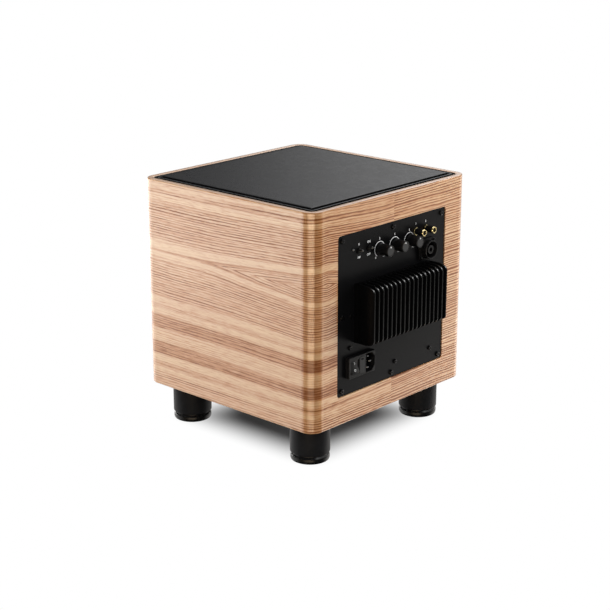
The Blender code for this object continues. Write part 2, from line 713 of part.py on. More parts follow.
def build_sockets():
    back = PLATE_BACK - FIT_GAP
    dome = [(LAMP_RADIUS, 0.0006), (LAMP_RADIUS * 0.87, 0.0014), (LAMP_RADIUS * 0.5, 0.0019)]
    lamp = [
        (0, back - 0.004), (LAMP_RADIUS + 0.0006, back - 0.004), (LAMP_RADIUS + 0.0006, back),
        (LAMP_RADIUS, back), *dome, (0, 0.0021),
    ]
    make("status_lamp", revolve(lamp, 8), LENS, on_plate(LAMP_X, LAMP_Z), TO_REAR)

    inner = PHONO_RADIUS - PHONO_WALL
    tail = back - POT_DEPTH
    shell = [
        (inner, tail), (PHONO_BACK, tail), (PHONO_BACK, back), (PHONO_RADIUS, back),
        (PHONO_RADIUS, FIT_GAP), (PHONO_NUT, FIT_GAP), (PHONO_NUT, 0.0024),
        (PHONO_NUT - 0.0006, 0.0030), (PHONO_RADIUS, 0.0030),
        (PHONO_RADIUS, PHONO_REACH - 0.0004), (PHONO_RADIUS - 0.0003, PHONO_REACH),
        (inner, PHONO_REACH),
    ]
    core = inner - FIT_GAP
    rim = PHONO_REACH - 0.0012
    plug = [
        (0, tail), (core, tail), (core, rim), (PHONO_PIN_HOLE + 0.0005, rim),
        (PHONO_PIN_HOLE, rim - 0.0005), (PHONO_PIN_HOLE, rim - 0.010), (0, rim - 0.010),
    ]
    for name, x in zip(("left", "right"), PHONO_X):
        place = on_plate(x, PHONO_Z)
        make("phono_shell_" + name, revolve(shell, 14), GOLD, place, TO_REAR)
        make("phono_insulator_" + name, revolve(plug, 10), PLASTIC, place, TO_REAR)

    place = on_plate(SOCKET_X, SOCKET_Z)
    low = FIT_GAP
    high = FIT_GAP + SOCKET_FLANGE
    half_x = SOCKET_WIDTH / 2
    half_z = SOCKET_HEIGHT / 2
    flange = stack(
        [(half_x, half_z, 0.003, low), (half_x, half_z, 0.003, high - 0.0005),
         (half_x - 0.0005, half_z - 0.0005, 0.0025, high)],
        4,
    )
    flange = make("speaker_socket", flange, PLASTIC, place, TO_REAR)
    holes = rod(SOCKET_RADIUS - SOCKET_WALL / 2, low - 0.002, high + 0.002, 24)
    for side in (-1, 1):
        spot = (side * (half_x - 0.0033), side * (half_z - 0.0033))
        rod(SOCKET_HOLE, low - 0.002, high + 0.002, 10, holes, spot)
    cut(flange, make("socket_holes", holes, None, place, TO_REAR))
    bore = SOCKET_RADIUS - SOCKET_WALL
    floor = SOCKET_REACH - SOCKET_DEPTH
    end = floor - 0.003
    post = SOCKET_REACH - 0.0015
    barrel = [
        (0, end), (SOCKET_RADIUS, end), (SOCKET_RADIUS, SOCKET_REACH - 0.0006),
        (SOCKET_RADIUS - 0.0005, SOCKET_REACH), (bore, SOCKET_REACH), (bore, floor),
        (SOCKET_POST, floor), (SOCKET_POST, post), (SOCKET_POST_HOLE, post),
        (SOCKET_POST_HOLE, floor), (0, floor),
    ]
    join(flange, make("socket_barrel", revolve(barrel, 24), None, place, TO_REAR))


def build_inlet():
    place = on_plate(INLET_X, INLET_Z)
    front = INLET_REACH
    half_x = INLET_WIDTH / 2
    half_z = INLET_HEIGHT / 2
    body_x = half_x - INLET_LIP
    body_z = half_z - INLET_LIP
    block = stack(
        [(body_x, body_z, 0.001, -INLET_DEPTH), (body_x, body_z, 0.001, FIT_GAP),
         (half_x, half_z, 0.0012, FIT_GAP), (half_x, half_z, 0.0012, front - 0.0006),
         (half_x - 0.0006, half_z - 0.0006, 0.0008, front)],
        3,
    )
    housing = make("inlet_housing", block, GREY_PLASTIC, place, TO_REAR)

    # Drawn facing up, where the module's left and right change places
    wide = CAVITY_WIDTH / 2
    tall = CAVITY_HEIGHT / 2
    slant = CAVITY_CUT
    cavity = [
        (-wide, -tall), (wide - slant, -tall), (wide, -tall + slant), (wide, tall - slant),
        (wide - slant, tall), (-wide, tall),
    ]
    cavity = [(x - CAVITY_X, z) for x, z in cavity]
    wells = prism(cavity, front - CAVITY_DEPTH, front + 0.005)
    pins = {
        "line": (-PIN_OFFSET, PIN_SPREAD),
        "neutral": (-PIN_OFFSET, -PIN_SPREAD),
        "earth": (PIN_OFFSET, 0),
    }
    pin_x = PIN_WIDTH / 2
    pin_z = PIN_THICKNESS / 2
    slots = bmesh.new()
    for x, z in pins.values():
        slot = (pin_x + FIT_GAP, pin_z + FIT_GAP, 0.0002)
        spot = (x - CAVITY_X, z)
        stack([(*slot, -INLET_DEPTH - 0.002), (*slot, front - CAVITY_DEPTH + 0.002)], 1, slots, spot)
    rock_x = ROCKER_WIDTH / 2 + FIT_GAP
    rock_z = ROCKER_HEIGHT / 2 + FIT_GAP
    stack([(rock_x, rock_z, 0.0005, front - 0.012), (rock_x, rock_z, 0.0005, front + 0.005)],
          2, wells, (-ROCKER_X, 0))
    draw_x = FUSE_DRAWER_WIDTH / 2 + FIT_GAP
    draw_z = FUSE_DRAWER_HEIGHT / 2 + FIT_GAP
    tray_z = FUSE_TRAY_HEIGHT / 2 + FIT_GAP
    shelf = front - FUSE_FRONT - FIT_GAP
    deep = front - FUSE_DRAWER_DEPTH - FIT_GAP
    tray_x = draw_x - FUSE_LEDGE
    stack([(tray_x, tray_z, 0.0004, deep), (tray_x, tray_z, 0.0004, shelf),
           (draw_x, draw_z, 0.0004, shelf), (draw_x, draw_z, 0.0004, front + 0.005)],
          2, wells, (-FUSE_X, 0))
    cut(housing, make("inlet_wells", wells, None, place, TO_REAR))
    cut(housing, make("inlet_slots", slots, None, place, TO_REAR))

    for name, (x, z) in pins.items():
        blade = stack(
            [(pin_x, pin_z, 0.0002, -INLET_DEPTH - 0.006),
             (pin_x, pin_z, 0.0002, front - PIN_SHORT - 0.001),
             (pin_x - 0.0006, pin_z - 0.0006, 0.0002, front - PIN_SHORT)],
            1,
        )
        spot = on_plate(INLET_X + CAVITY_X - x, INLET_Z + z)
        make("inlet_pin_" + name, blade, NICKEL, spot, TO_REAR)

    half = ROCKER_HEIGHT / 2
    side = [
        (-0.005, -half * 0.6), (-0.002, -half * 0.9), (ROCKER_PIVOT * 1.1, -half * 0.95),
        (ROCKER_PIVOT * 0.45, 0), (ROCKER_PIVOT * 1.1, half * 0.95), (-0.002, half * 0.9),
        (-0.005, half * 0.6),
    ]
    form = prism(side, -ROCKER_WIDTH / 2, ROCKER_WIDTH / 2, "X")
    spot = on_plate(INLET_X + ROCKER_X, INLET_Z)
    spot = (spot[0], spot[1] + front - ROCKER_PIVOT, spot[2])
    tilt = Matrix.Rotation(ROCKER_TILT, 4, "X")
    make("rocker_switch", form, PLASTIC, spot, tilt)

    spot = on_plate(INLET_X + FUSE_X, INLET_Z)
    tray = FUSE_TRAY_HEIGHT / 2
    wide = FUSE_DRAWER_WIDTH / 2
    tall = FUSE_DRAWER_HEIGHT / 2
    back = front - FUSE_DRAWER_DEPTH
    shoulder = front - FUSE_FRONT
    form = stack(
        [(wide - FUSE_LEDGE, tray, 0.0004, back), (wide - FUSE_LEDGE, tray, 0.0004, shoulder),
         (wide, tall, 0.0004, shoulder), (wide, tall, 0.0004, front + 0.0004)],
        2,
    )
    drawer = make("fuse_drawer", form, PLASTIC, spot, TO_REAR)
    bed = FUSE_RADIUS + FIT_GAP
    high = shoulder - 0.002
    low = high - FUSE_LENGTH - 2 * FIT_GAP
    trough = rod(bed, low, high, 16)
    door = stack([(wide, bed, 0.0002, low), (wide, bed, 0.0002, high)], 1, centre=(wide, 0))
    cut(drawer, make("fuse_trough", trough, None, spot, TO_REAR))
    cut(drawer, make("fuse_door", door, None, spot, TO_REAR))
    grip = stack(
        [(wide * 0.55, 0.0008, 0.0003, front - 0.0008), (wide * 0.55, 0.0008, 0.0003, front + 0.002)],
        1, centre=(0, tall - 0.0026),
    )
    cut(drawer, make("fuse_grip", grip, None, spot, TO_REAR))
    tube = rod(FUSE_RADIUS, low + FIT_GAP, high - FIT_GAP, 16)
    make("fuse", tube, GLASS, spot, TO_REAR)


def basket_radius(height):
    """Outer radius of the basket wall between its mouth and its neck."""
    low = FLANGE_RECESS + FLANGE_THICKNESS + 0.0025
    high = BASKET_HEIGHT - 0.0105
    share = (height - low) / (high - low)
    wide = BASKET_MOUTH + BASKET_WALL
    return wide + (BASKET_NECK + 0.003 - wide) * share


def build_woofer():
    place = (0, CENTRE_Y, FOOT_HEIGHT)
    flange_top = FLANGE_RECESS + FLANGE_THICKNESS
    low = flange_top + 0.0025
    high = BASKET_HEIGHT - 0.0105
    shelf = SHELF_HEIGHT
    under = basket_radius(shelf - 0.0008) - BASKET_WALL - 0.0005
    over = basket_radius(shelf + 0.002) - BASKET_WALL
    basket = [
        (BASKET_MOUTH, FLANGE_RECESS), (FLANGE_RADIUS, FLANGE_RECESS),
        (FLANGE_RADIUS, flange_top), (BASKET_MOUTH + BASKET_WALL + 0.0015, flange_top),
        (basket_radius(low), low), (basket_radius(high), high),
        (BASKET_NECK, high + 0.006), (BASKET_NECK, BASKET_HEIGHT),
        (BASKET_NECK * 0.64, BASKET_HEIGHT), (BASKET_NECK * 0.64, BASKET_HEIGHT - 0.0025),
        (BASKET_NECK - BASKET_WALL, BASKET_HEIGHT - 0.0025), (over, shelf + 0.002),
        (SHELF_RADIUS, shelf + 0.002), (SHELF_RADIUS, shelf), (under, shelf - 0.0008),
        (basket_radius(low) - BASKET_WALL, low),
    ]
    frame = make("driver_basket", revolve(basket, 24), BLACK_METAL, place)
    share = math.tau / BASKET_SPOKES
    floor = low + 0.006
    roof = shelf - 0.005
    window = [
        (basket_radius(floor) - 0.010, floor), (basket_radius(floor) + 0.010, floor),
        (basket_radius(roof) + 0.010, roof), (basket_radius(roof) - 0.010, roof),
    ]
    gaps = bmesh.new()
    for spoke in range(BASKET_SPOKES):
        first = spoke * share + SPOKE_ANGLE / 2
        revolve(window, 2, share - SPOKE_ANGLE, first, gaps)
    cut(frame, make("basket_windows", gaps, None, place))

    rim = CONE_RADIUS - CONE_RIM
    rest = FLANGE_RECESS
    neck = COIL_RADIUS + FIT_GAP
    front = [(CONE_RADIUS, rest), (rim, rest)]
    steps = 4
    for step in range(1, steps + 1):
        part = step / steps
        front.append((rim + (neck - rim) * part, rest + CONE_DEPTH * part ** 0.86))
    rear = [(radius, height + CONE_WALL) for radius, height in reversed(front)]
    make("cone", revolve(front + rear, 32), PAPER, place)

    part = (rim - CAP_RADIUS) / (rim - neck)
    seat = rest + CONE_DEPTH * part ** 0.86 - 2 * FIT_GAP
    inside, outside = [], []
    for step in range(5):
        angle = math.pi / 2 * step / 4
        radius = CAP_RADIUS * math.cos(angle)
        outside.append((radius, seat - CAP_WALL - CAP_RISE * math.sin(angle)))
        inside.append((radius * 0.985, seat - CAP_RISE * math.sin(angle)))
    make("dust_cap", revolve(outside + list(reversed(inside)), 20), PAPER, place)

    inner = CONE_RADIUS + FIT_GAP
    outer = BASKET_MOUTH + FIT_GAP
    middle = (inner + outer) / 2
    roll = (outer - inner) / 2
    high = FLANGE_RECESS - FIT_GAP
    low = high - SURROUND_WALL
    bulge = SURROUND_WALL + roll
    outside = [(outer + SURROUND_LIP, low)]
    inside = [(outer + SURROUND_LIP, high)]
    for step in range(6):
        angle = math.pi * step / 5
        outside.append((middle + bulge * math.cos(angle), low - bulge * math.sin(angle)))
        inside.append((middle + roll * math.cos(angle), high - roll * 1.1 * math.sin(angle)))
    outside.append((rim, low))
    inside.append((rim, high))
    make("surround", revolve(outside + list(reversed(inside)), 32), RUBBER, place)

    thin = COIL_RADIUS - COIL_WALL
    thick = COIL_RADIUS + COIL_WINDING
    start = rest + CONE_DEPTH - 0.001
    coil = [
        (thin, start), (COIL_RADIUS, start), (COIL_RADIUS, COIL_TOP - COIL_WINDING_HEIGHT),
        (thick, COIL_TOP - COIL_WINDING_HEIGHT), (thick, COIL_TOP), (thin, COIL_TOP),
    ]
    make("voice_coil", revolve(coil, 16), COPPER, place)

    disc = BASKET_HEIGHT + FIT_GAP
    magnet = disc + TOP_PLATE_THICKNESS + FIT_GAP
    yoke = magnet + MAGNET_HEIGHT + FIT_GAP
    ring = thick + MAGNET_GAP
    pole = thin - MAGNET_GAP
    top_plate = [
        (ring, disc), (TOP_PLATE_RADIUS, disc), (TOP_PLATE_RADIUS, magnet - FIT_GAP),
        (ring, magnet - FIT_GAP),
    ]
    make("driver_top_plate", revolve(top_plate, 20), STEEL, place)
    ferrite = [
        (MAGNET_BORE, magnet), (MAGNET_RADIUS - 0.0015, magnet), (MAGNET_RADIUS, magnet + 0.0015),
        (MAGNET_RADIUS, yoke - FIT_GAP - 0.0015), (MAGNET_RADIUS - 0.0015, yoke - FIT_GAP),
        (MAGNET_BORE, yoke - FIT_GAP),
    ]
    make("driver_magnet", revolve(ferrite, 20), FERRITE, place)
    back = [
        (0, disc), (pole, disc), (pole, yoke), (TOP_PLATE_RADIUS, yoke),
        (TOP_PLATE_RADIUS, yoke + YOKE_THICKNESS - 0.001),
        (TOP_PLATE_RADIUS - 0.001, yoke + YOKE_THICKNESS), (0, yoke + YOKE_THICKNESS),
    ]
    make("driver_yoke", revolve(back, 20), STEEL, place)

    edge = min(under - 0.0012, SHELF_RADIUS + 0.0075)
    level = shelf - 0.0008 - FIT_GAP - SPIDER_WALL
    waves = 2
    steps = waves * 4
    flat = SHELF_RADIUS - 0.001
    lower, upper = [(edge, level)], [(edge, level + SPIDER_WALL)]
    for step in range(steps + 1):
        radius = flat + (neck - flat) * step / steps
        height = level - SPIDER_WAVE * (1 - math.cos(math.tau * waves * step / steps)) / 2
        lower.append((radius, height))
        upper.append((radius, height + SPIDER_WALL))
    make("spider", revolve(lower + list(reversed(upper)), 16), CLOTH, place)


build_cabinet()
build_feet()
build_plate()
build_heat_sink()
build_boards()
build_knobs()
build_toggles()
build_sockets()
build_inlet()
build_woofer()
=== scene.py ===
from functools import reduce
from math import atan2, cos, hypot, pi, radians, sin, tau

import bmesh
import bpy
from mathutils import Matrix, Vector
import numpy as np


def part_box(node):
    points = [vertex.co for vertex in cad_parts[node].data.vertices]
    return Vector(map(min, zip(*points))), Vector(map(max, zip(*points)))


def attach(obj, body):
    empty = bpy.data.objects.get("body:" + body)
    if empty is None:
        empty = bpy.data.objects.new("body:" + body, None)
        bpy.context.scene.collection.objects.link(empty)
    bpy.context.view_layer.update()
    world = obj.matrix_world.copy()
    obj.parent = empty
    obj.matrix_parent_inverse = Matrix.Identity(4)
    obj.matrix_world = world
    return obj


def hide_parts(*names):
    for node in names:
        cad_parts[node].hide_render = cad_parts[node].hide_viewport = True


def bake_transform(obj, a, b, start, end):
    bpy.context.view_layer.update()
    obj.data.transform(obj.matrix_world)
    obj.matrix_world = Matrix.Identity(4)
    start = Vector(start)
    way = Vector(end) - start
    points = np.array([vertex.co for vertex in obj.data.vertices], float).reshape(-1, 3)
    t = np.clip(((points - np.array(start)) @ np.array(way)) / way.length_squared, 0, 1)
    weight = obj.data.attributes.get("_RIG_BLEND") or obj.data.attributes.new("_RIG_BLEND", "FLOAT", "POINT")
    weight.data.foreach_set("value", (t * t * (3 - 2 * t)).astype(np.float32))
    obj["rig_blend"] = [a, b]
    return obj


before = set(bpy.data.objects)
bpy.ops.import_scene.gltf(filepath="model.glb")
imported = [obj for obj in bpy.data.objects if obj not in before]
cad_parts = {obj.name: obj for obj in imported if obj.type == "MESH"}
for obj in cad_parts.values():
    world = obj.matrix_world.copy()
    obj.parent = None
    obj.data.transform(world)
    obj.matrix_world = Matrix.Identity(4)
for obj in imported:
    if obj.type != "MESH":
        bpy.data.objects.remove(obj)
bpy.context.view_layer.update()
scene = bpy.context.scene
scene.view_settings.view_transform = "Standard"
print("frame loaded:", len(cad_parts), "nodes")

# where the main parts of the solid model are
shellLow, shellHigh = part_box("cabinet_shell")
plateLow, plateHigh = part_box("amp_plate")
faceY, plateZ = plateHigh.y, (plateLow.z + plateHigh.z) / 2
behindPlate = -0.0033  # just behind the plate, from its face
centreY, bottomZ = (shellLow.y + shellHigh.y) / 2, shellLow.z


def isSocket(value):
    return isinstance(value, bpy.types.NodeSocket)


def feed(node, inputs):
    for key, value in inputs.items():
        if isSocket(value):
            node.id_data.links.new(value, node.inputs[key])
        else:
            node.inputs[key].default_value = value


def addNode(tree, kind, inputs=None, **settings):
    node = tree.nodes.new("ShaderNode" + kind)
    for key, value in settings.items():
        setattr(node, key, value)
    feed(node, inputs or {})
    return node


def treeOf(*values):  # any linked socket says which tree is being built
    return next(value for value in values if isSocket(value)).id_data


def calc(operation, *values):
    return addNode(treeOf(*values), "Math", dict(enumerate(values)), operation=operation).outputs[0]


def add(*values):
    return reduce(lambda first, second: calc("ADD", first, second), values)


def times(*values):
    return reduce(lambda first, second: calc("MULTIPLY", first, second), values)


def minus(first, second):
    return calc("SUBTRACT", first, second)


def fade(value, start, end, low=0.0, high=1.0):
    inputs = {"Value": value, "From Min": start, "From Max": end, "To Min": low, "To Max": high}
    return addNode(treeOf(value), "MapRange", inputs, interpolation_type="SMOOTHSTEP").outputs[0]


def mixFloat(factor, first, second):
    return addNode(treeOf(factor), "Mix", {0: factor, 2: first, 3: second}, data_type="FLOAT").outputs[0]


def blendColour(factor, first, second):
    first, second = (value if isSocket(value) else (*value, 1) for value in (first, second))
    tree = treeOf(factor, first, second)
    return addNode(tree, "Mix", {0: factor, 6: first, 7: second}, data_type="RGBA").outputs[2]


def ramp(value, stops):
    node = addNode(treeOf(value), "ValToRGB", {0: value})
    elements = node.color_ramp.elements
    for element, (place, colour) in zip(elements, (stops[0], stops[-1])):
        element.position, element.color = place, (*colour, 1)
    for place, colour in stops[1:-1]:
        elements.new(place).color = (*colour, 1)
    return node.outputs[0]


def noise(place, scale, detail=2.0, rough=0.5):
    inputs = {"Vector": place, "Scale": scale, "Detail": detail, "Roughness": rough}
    return addNode(treeOf(place), "TexNoise", inputs, noise_dimensions="3D").outputs[0]


def dents(height, strength, distance):
    return addNode(treeOf(height), "Bump", {"Strength": strength, "Distance": distance, "Height": height}).outputs[0]


def bareTree(owner):
    owner.use_nodes = True
    owner.node_tree.nodes.clear()
    return owner.node_tree


def addObject(name, data):
    item = bpy.data.objects.new(name, data)
    scene.collection.objects.link(item)
    return item


def meshFrom(name, bm):
    mesh = bpy.data.meshes.new(name)
    bm.to_mesh(mesh)
    bm.free()
    return mesh


def aim(item, place, look):
    item.location = place
    item.rotation_euler = (Vector(look) - Vector(place)).to_track_quat("-Z", "Y").to_euler()


def shift(x, y, z):
    return Matrix.Translation((x, y, z))


def spin(angle, axis):
    return Matrix.Rotation(angle, 4, axis)


cameraView = {"place": (1.38533, 1.24642, 0.7354), "look": (0.00955, -0.00673, 0.1530), "lens": 90.4,
    "sensor": 36.0, "clip": (0.05, 60.0)}


def addCamera(look):
    lens = bpy.data.cameras.new("photoCamera")
    lens.lens, lens.sensor_width = look["lens"], look["sensor"]
    lens.clip_start, lens.clip_end = look["clip"]
    scene.camera = addObject("photoCamera", lens)
    aim(scene.camera, look["place"], look["look"])


softboxes = {  # glossy and diffuse: whether mirrors and matt surfaces get the light
    "sideBox": {"place": (0.85, -1.25, 0.75), "look": (0, 0, 0.16), "size": (1.1, 1.2), "power": 13.5,
        "glossy": False},
    "rearBox": {"place": (-1.25, 0.85, 0.70), "look": (0, 0, 0.16), "size": (1.1, 1.1), "power": 21.5,
        "glossy": False},
    "rearGlint": {"place": (-1.30, 0.60, 1.25), "look": (0, 0.1, 0.2), "size": (0.70, 0.36), "power": 5.5,
        "diffuse": False},
    "sideGlint": {"place": (0.40, -1.35, 1.30), "look": (0.1, 0, 0.1), "size": (0.70, 0.36), "power": 5.5,
        "diffuse": False},
    "topBox": {"place": (-0.15, -0.25, 1.95), "look": (0, 0, 0.2), "size": (1.6, 1.6), "power": 20.0},
    "fillBox": {"place": (1.75, 1.55, 1.55), "look": (0, 0, 0.16), "size": (1.2, 1.2), "power": 15.0,
        "glossy": False},
}


def addLamps():
    for name, look in softboxes.items():
        lamp = bpy.data.lights.new(name, "AREA")
        lamp.shape = "RECTANGLE"
        lamp.size, lamp.size_y = look["size"]
        lamp.energy = look["power"]
        holder = addObject(name, lamp)
        holder.visible_glossy, holder.visible_diffuse = look.get("glossy", True), look.get("diffuse", True)
        aim(holder, look["place"], look["look"])


sky = {"fill": 0.20, "rise": (-0.05, 0.32), "low": 0.08, "high": 0.64, "bright": (-0.866, 0.5, 0.0),
    "turn": (0.22, 0.37), "left": 0.10, "right": 1.6, "past": (0.42, 0.62), "beyond": 0.40}


def makeSky(look):
    scene.world = bpy.data.worlds.new("studioWorld")
    tree = bareTree(scene.world)
    path = addNode(tree, "LightPath").outputs
    way = addNode(tree, "TexCoord").outputs["Generated"]
    rise = addNode(tree, "SeparateXYZ", {0: way}).outputs[2]
    aside = addNode(tree, "VectorMath", {0: way, 1: look["bright"]}, operation="DOT_PRODUCT").outputs["Value"]
    shine = times(fade(rise, *look["rise"], look["low"], look["high"]),
        fade(aside, *look["turn"], look["left"], look["right"]),
        fade(aside, *look["past"], 1.0, look["beyond"]))
    seen = calc("MAXIMUM", path["Is Camera Ray"], path["Is Transmission Ray"])
    strength = calc("MAXIMUM", seen, mixFloat(path["Is Glossy Ray"], look["fill"], shine))
    dome = addNode(tree, "Background", {"Color": (1, 1, 1, 1), "Strength": strength})
    addNode(tree, "OutputWorld", {"Surface": dome.outputs[0]})


paper = {"size": 15.0, "seen": 0.20, "bounce": 0.45, "lift": 0.02, "corner": 0.06, "fade": (0.066, 0.138)}


def makeFloor(look):
    bm = bmesh.new()
    bmesh.ops.create_grid(bm, x_segments=2, y_segments=2, size=look["size"])
    floor = addObject("studioFloor", meshFrom("studioFloor", bm))
    sheet = bpy.data.materials.new("whitePaper")
    tree = bareTree(sheet)
    place = addNode(tree, "TexCoord").outputs["Object"]
    place = addNode(tree, "VectorMath", {0: place, 1: (0, -centreY, 0)}, operation="ADD").outputs[0]
    place = addNode(tree, "VectorMath", {0: place}, operation="ABSOLUTE").outputs[0]
    flat = addNode(tree, "SeparateXYZ", {0: place}).outputs
    far = fade(calc("SMOOTH_MAX", flat[0], flat[1], look["corner"]), *look["fade"])
    seen = addNode(tree, "LightPath").outputs["Is Camera Ray"]
    tone = blendColour(seen, (look["bounce"],) * 3, (look["seen"],) * 3)
    matt = addNode(tree, "BsdfDiffuse", {"Color": tone})
    glow = addNode(tree, "Emission", {"Color": (1, 1, 1, 1), "Strength": times(seen, look["lift"])})
    near = addNode(tree, "AddShader", {0: matt.outputs[0], 1: glow.outputs[0]})
    white = addNode(tree, "Emission", {"Color": (1, 1, 1, 1), "Strength": 1.0})
    mixed = addNode(tree, "MixShader", {0: times(far, seen), 1: near.outputs[0], 2: white.outputs[0]})
    below = addNode(tree, "NewGeometry").outputs["Backfacing"]  # clear from underneath
    clear = addNode(tree, "BsdfTransparent")
    mixed = addNode(tree, "MixShader", {0: below, 1: mixed.outputs[0], 2: clear.outputs[0]})
    addNode(tree, "OutputMaterial", {"Surface": mixed.outputs[0]})
    floor.data.materials.append(sheet)
    floor.visible_glossy = False


cardShape = {"radius": 2.2, "low": -1.9, "high": 0.25, "fade": (-0.64, -0.28), "steps": 24}
cards = {  # white cards in the lacquer: glow below and above, share at each bearing
    "sideCard": {"glow": (2.8, 4.3), "tint": (1.0, 0.985, 0.97),
        "sweep": ((-142, 0.21), (-122, 0.34), (-102, 0.56), (-85, 0.82), (-70, 1.0), (-48, 1.06),
            (-37, 0.98), (-24, 0.90))},
    "rearCard": {"glow": (2.2, 1.4), "tint": (1.0, 0.97, 0.93),
        "sweep": ((126, 0.85), (137, 0.85), (150, 1.45), (165, 1.4), (185, 0.70), (205, 0.38), (224, 0.25))},
    "middleCard": {"glow": (5.0, 7.4), "tint": (1.0, 0.80, 0.57), "low": -0.85,
        "sweep": ((-22, 0.14), (6, 0.12), (14, 0.6), (24, 1.0), (52, 1.0), (63, 0.6))},
}


def makeCards(shape):
    for name, look in cards.items():
        sweep = look["sweep"]
        first, span = sweep[0][0], sweep[-1][0] - sweep[0][0]
        bm = bmesh.new()
        heights = (look.get("low", shape["low"]), shape["high"])
        edge = [bm.verts.new((shape["radius"], 0, height)) for height in heights]
        side = bm.edges.new(edge)
        bmesh.ops.spin(bm, geom=edge + [side], cent=(0, 0, 0), axis=(0, 0, 1), steps=shape["steps"],
            angle=radians(span))
        bmesh.ops.rotate(bm, cent=(0, 0, 0), matrix=Matrix.Rotation(radians(first), 3, "Z"), verts=bm.verts)
        card = addObject(name, meshFrom(name, bm))
        white = bpy.data.materials.new(name)
        tree = bareTree(white)
        spot = addNode(tree, "SeparateXYZ", {0: addNode(tree, "TexCoord").outputs["Object"]}).outputs
        middle = radians(first + span / 2)
        ways = ((-sin(middle), cos(middle)), (cos(middle), sin(middle)))
        beside, ahead = [add(times(spot[0], x), times(spot[1], y)) for x, y in ways]
        turn = add(calc("DIVIDE", calc("ARCTAN2", beside, ahead), radians(span)), 0.5)
        most = max(share for bearing, share in sweep)
        shares = ramp(turn, [((bearing - first) / span, (share / most,) * 3) for bearing, share in sweep])
        glow = fade(spot[2], *shape["fade"], *(level * most for level in look["glow"]))
        light = addNode(tree, "Emission", {"Color": (*look["tint"], 1), "Strength": times(glow, shares)})
        addNode(tree, "OutputMaterial", {"Surface": light.outputs[0]})
        white.cycles.emission_sampling = "NONE"
        card.data.materials.append(white)
        card.visible_camera = card.visible_diffuse = card.visible_shadow = card.visible_transmission = False


addCamera(cameraView)
addLamps()
makeSky(sky)
makeFloor(paper)
makeCards(cardShape)
print("studio ready")


finishes = {}


def newMaterial(name):
    material = finishes[name] = bpy.data.materials.new(name)
    material.use_nodes = True
    return material.node_tree, material.node_tree.nodes["Principled BSDF"]


surfaceSockets = (("INPUT", "Float", ("Grain", "Cloud", "Smooth", "Rough")),
    ("INPUT", "Color", ("Colour", "Tint")), ("OUTPUT", "Color", ("Colour",)),
    ("OUTPUT", "Float", ("Roughness", "Height")))


def makeSurfaceGroup():  # two tones and two roughnesses, mixed by fine grain and wide clouds
    group = bpy.data.node_groups.new("surfaceDetail", "ShaderNodeTree")
    for way, kind, names in surfaceSockets:
        for name in names:
            group.interface.new_socket(name=name, in_out=way, socket_type="NodeSocket" + kind)
    given = group.nodes.new("NodeGroupInput").outputs
    place = addNode(group, "TexCoord").outputs["Object"]
    grain = noise(place, given["Grain"], 3.0, 0.6)
    cloud = noise(place, given["Cloud"], 3.0, 0.55)
    share = fade(add(times(grain, 0.5), times(cloud, 0.5)), 0.32, 0.68)
    rough = addNode(group, "MapRange", {"Value": share, "To Min": given["Smooth"], "To Max": given["Rough"]})
    colour = blendColour(share, given["Colour"], given["Tint"])
    feed(group.nodes.new("NodeGroupOutput"), {"Colour": colour, "Roughness": rough.outputs[0], "Height": grain})
    return group


surfaceGroup = makeSurfaceGroup()
coatRough = 0.15


def plainFinish(name, colour, tint, smooth, rough, metallic=0.0, grain=2000.0, cloud=30.0, bump=0.2,
        depth=0.00005, coat=0.0, shine=0.5):
    tree, shader = newMaterial(name)
    inputs = {"Grain": grain, "Cloud": cloud, "Colour": (*colour, 1), "Tint": (*tint, 1), "Smooth": smooth,
        "Rough": rough}
    detail = addNode(tree, "Group", inputs, node_tree=surfaceGroup).outputs
    feed(shader, {"Base Color": detail["Colour"], "Roughness": detail["Roughness"], "Metallic": metallic,
        "Specular IOR Level": shine})
    if coat:
        feed(shader, {"Coat Weight": coat, "Coat Roughness": coatRough})
    if bump:
        feed(shader, {"Normal": dents(detail["Height"], bump, depth)})


# darker, matt copy of the leather: painted shade in the gap, the groove and on the turned-in edges
plainFinish("leatherEdge", (0.0012, 0.0012, 0.0013), (0.003, 0.003, 0.0032), 0.75, 0.9, grain=1500.0,
    cloud=200.0, bump=0.3, shine=0.03)
plainFinish("powderCoat", (0.0035, 0.0035, 0.0038), (0.0065, 0.0065, 0.007), 0.26, 0.36, grain=1500.0,
    cloud=9.0, bump=0.12, depth=0.00006, shine=0.04)
plainFinish("blackAnodised", (0.0022, 0.0022, 0.0023), (0.0040, 0.0040, 0.0042), 0.22, 0.30, grain=3000.0,
    cloud=40.0, bump=0.05, shine=0.03)
plainFinish("polishedBlack", (0.003, 0.003, 0.0031), (0.006, 0.006, 0.0062), 0.16, 0.24, grain=2600.0,
    cloud=60.0, bump=0.05, shine=0.9)
plainFinish("footCoat", (0.0135, 0.0135, 0.0141), (0.021, 0.021, 0.0217), 0.36, 0.48, grain=1800.0, cloud=45.0,
    bump=0.12, shine=0.03)
plainFinish("blackRubber", (0.004, 0.004, 0.004), (0.008, 0.008, 0.008), 0.22, 0.34, grain=1300.0, cloud=60.0,
    bump=0.15, shine=0.09)
plainFinish("knobPlastic", (0.0035, 0.0035, 0.0037), (0.007, 0.007, 0.0074), 0.30, 0.42, grain=2600.0,
    cloud=90.0, shine=0.14)
plainFinish("satinPlastic", (0.0035, 0.0035, 0.0037), (0.007, 0.007, 0.0074), 0.32, 0.46, grain=2200.0,
    cloud=70.0, shine=0.16)
plainFinish("texturedPlastic", (0.0045, 0.0045, 0.0048), (0.009, 0.009, 0.0094), 0.42, 0.56, grain=1600.0,
    cloud=50.0, bump=0.5, depth=0.00008, shine=0.12)
# paler than the knob body: painted sheen on the knob fronts
plainFinish("knobFaceSheen", (0.012, 0.012, 0.0125), (0.018, 0.018, 0.0185), 0.36, 0.48, grain=2600.0, cloud=90.0,
    bump=0.1, shine=0.22)
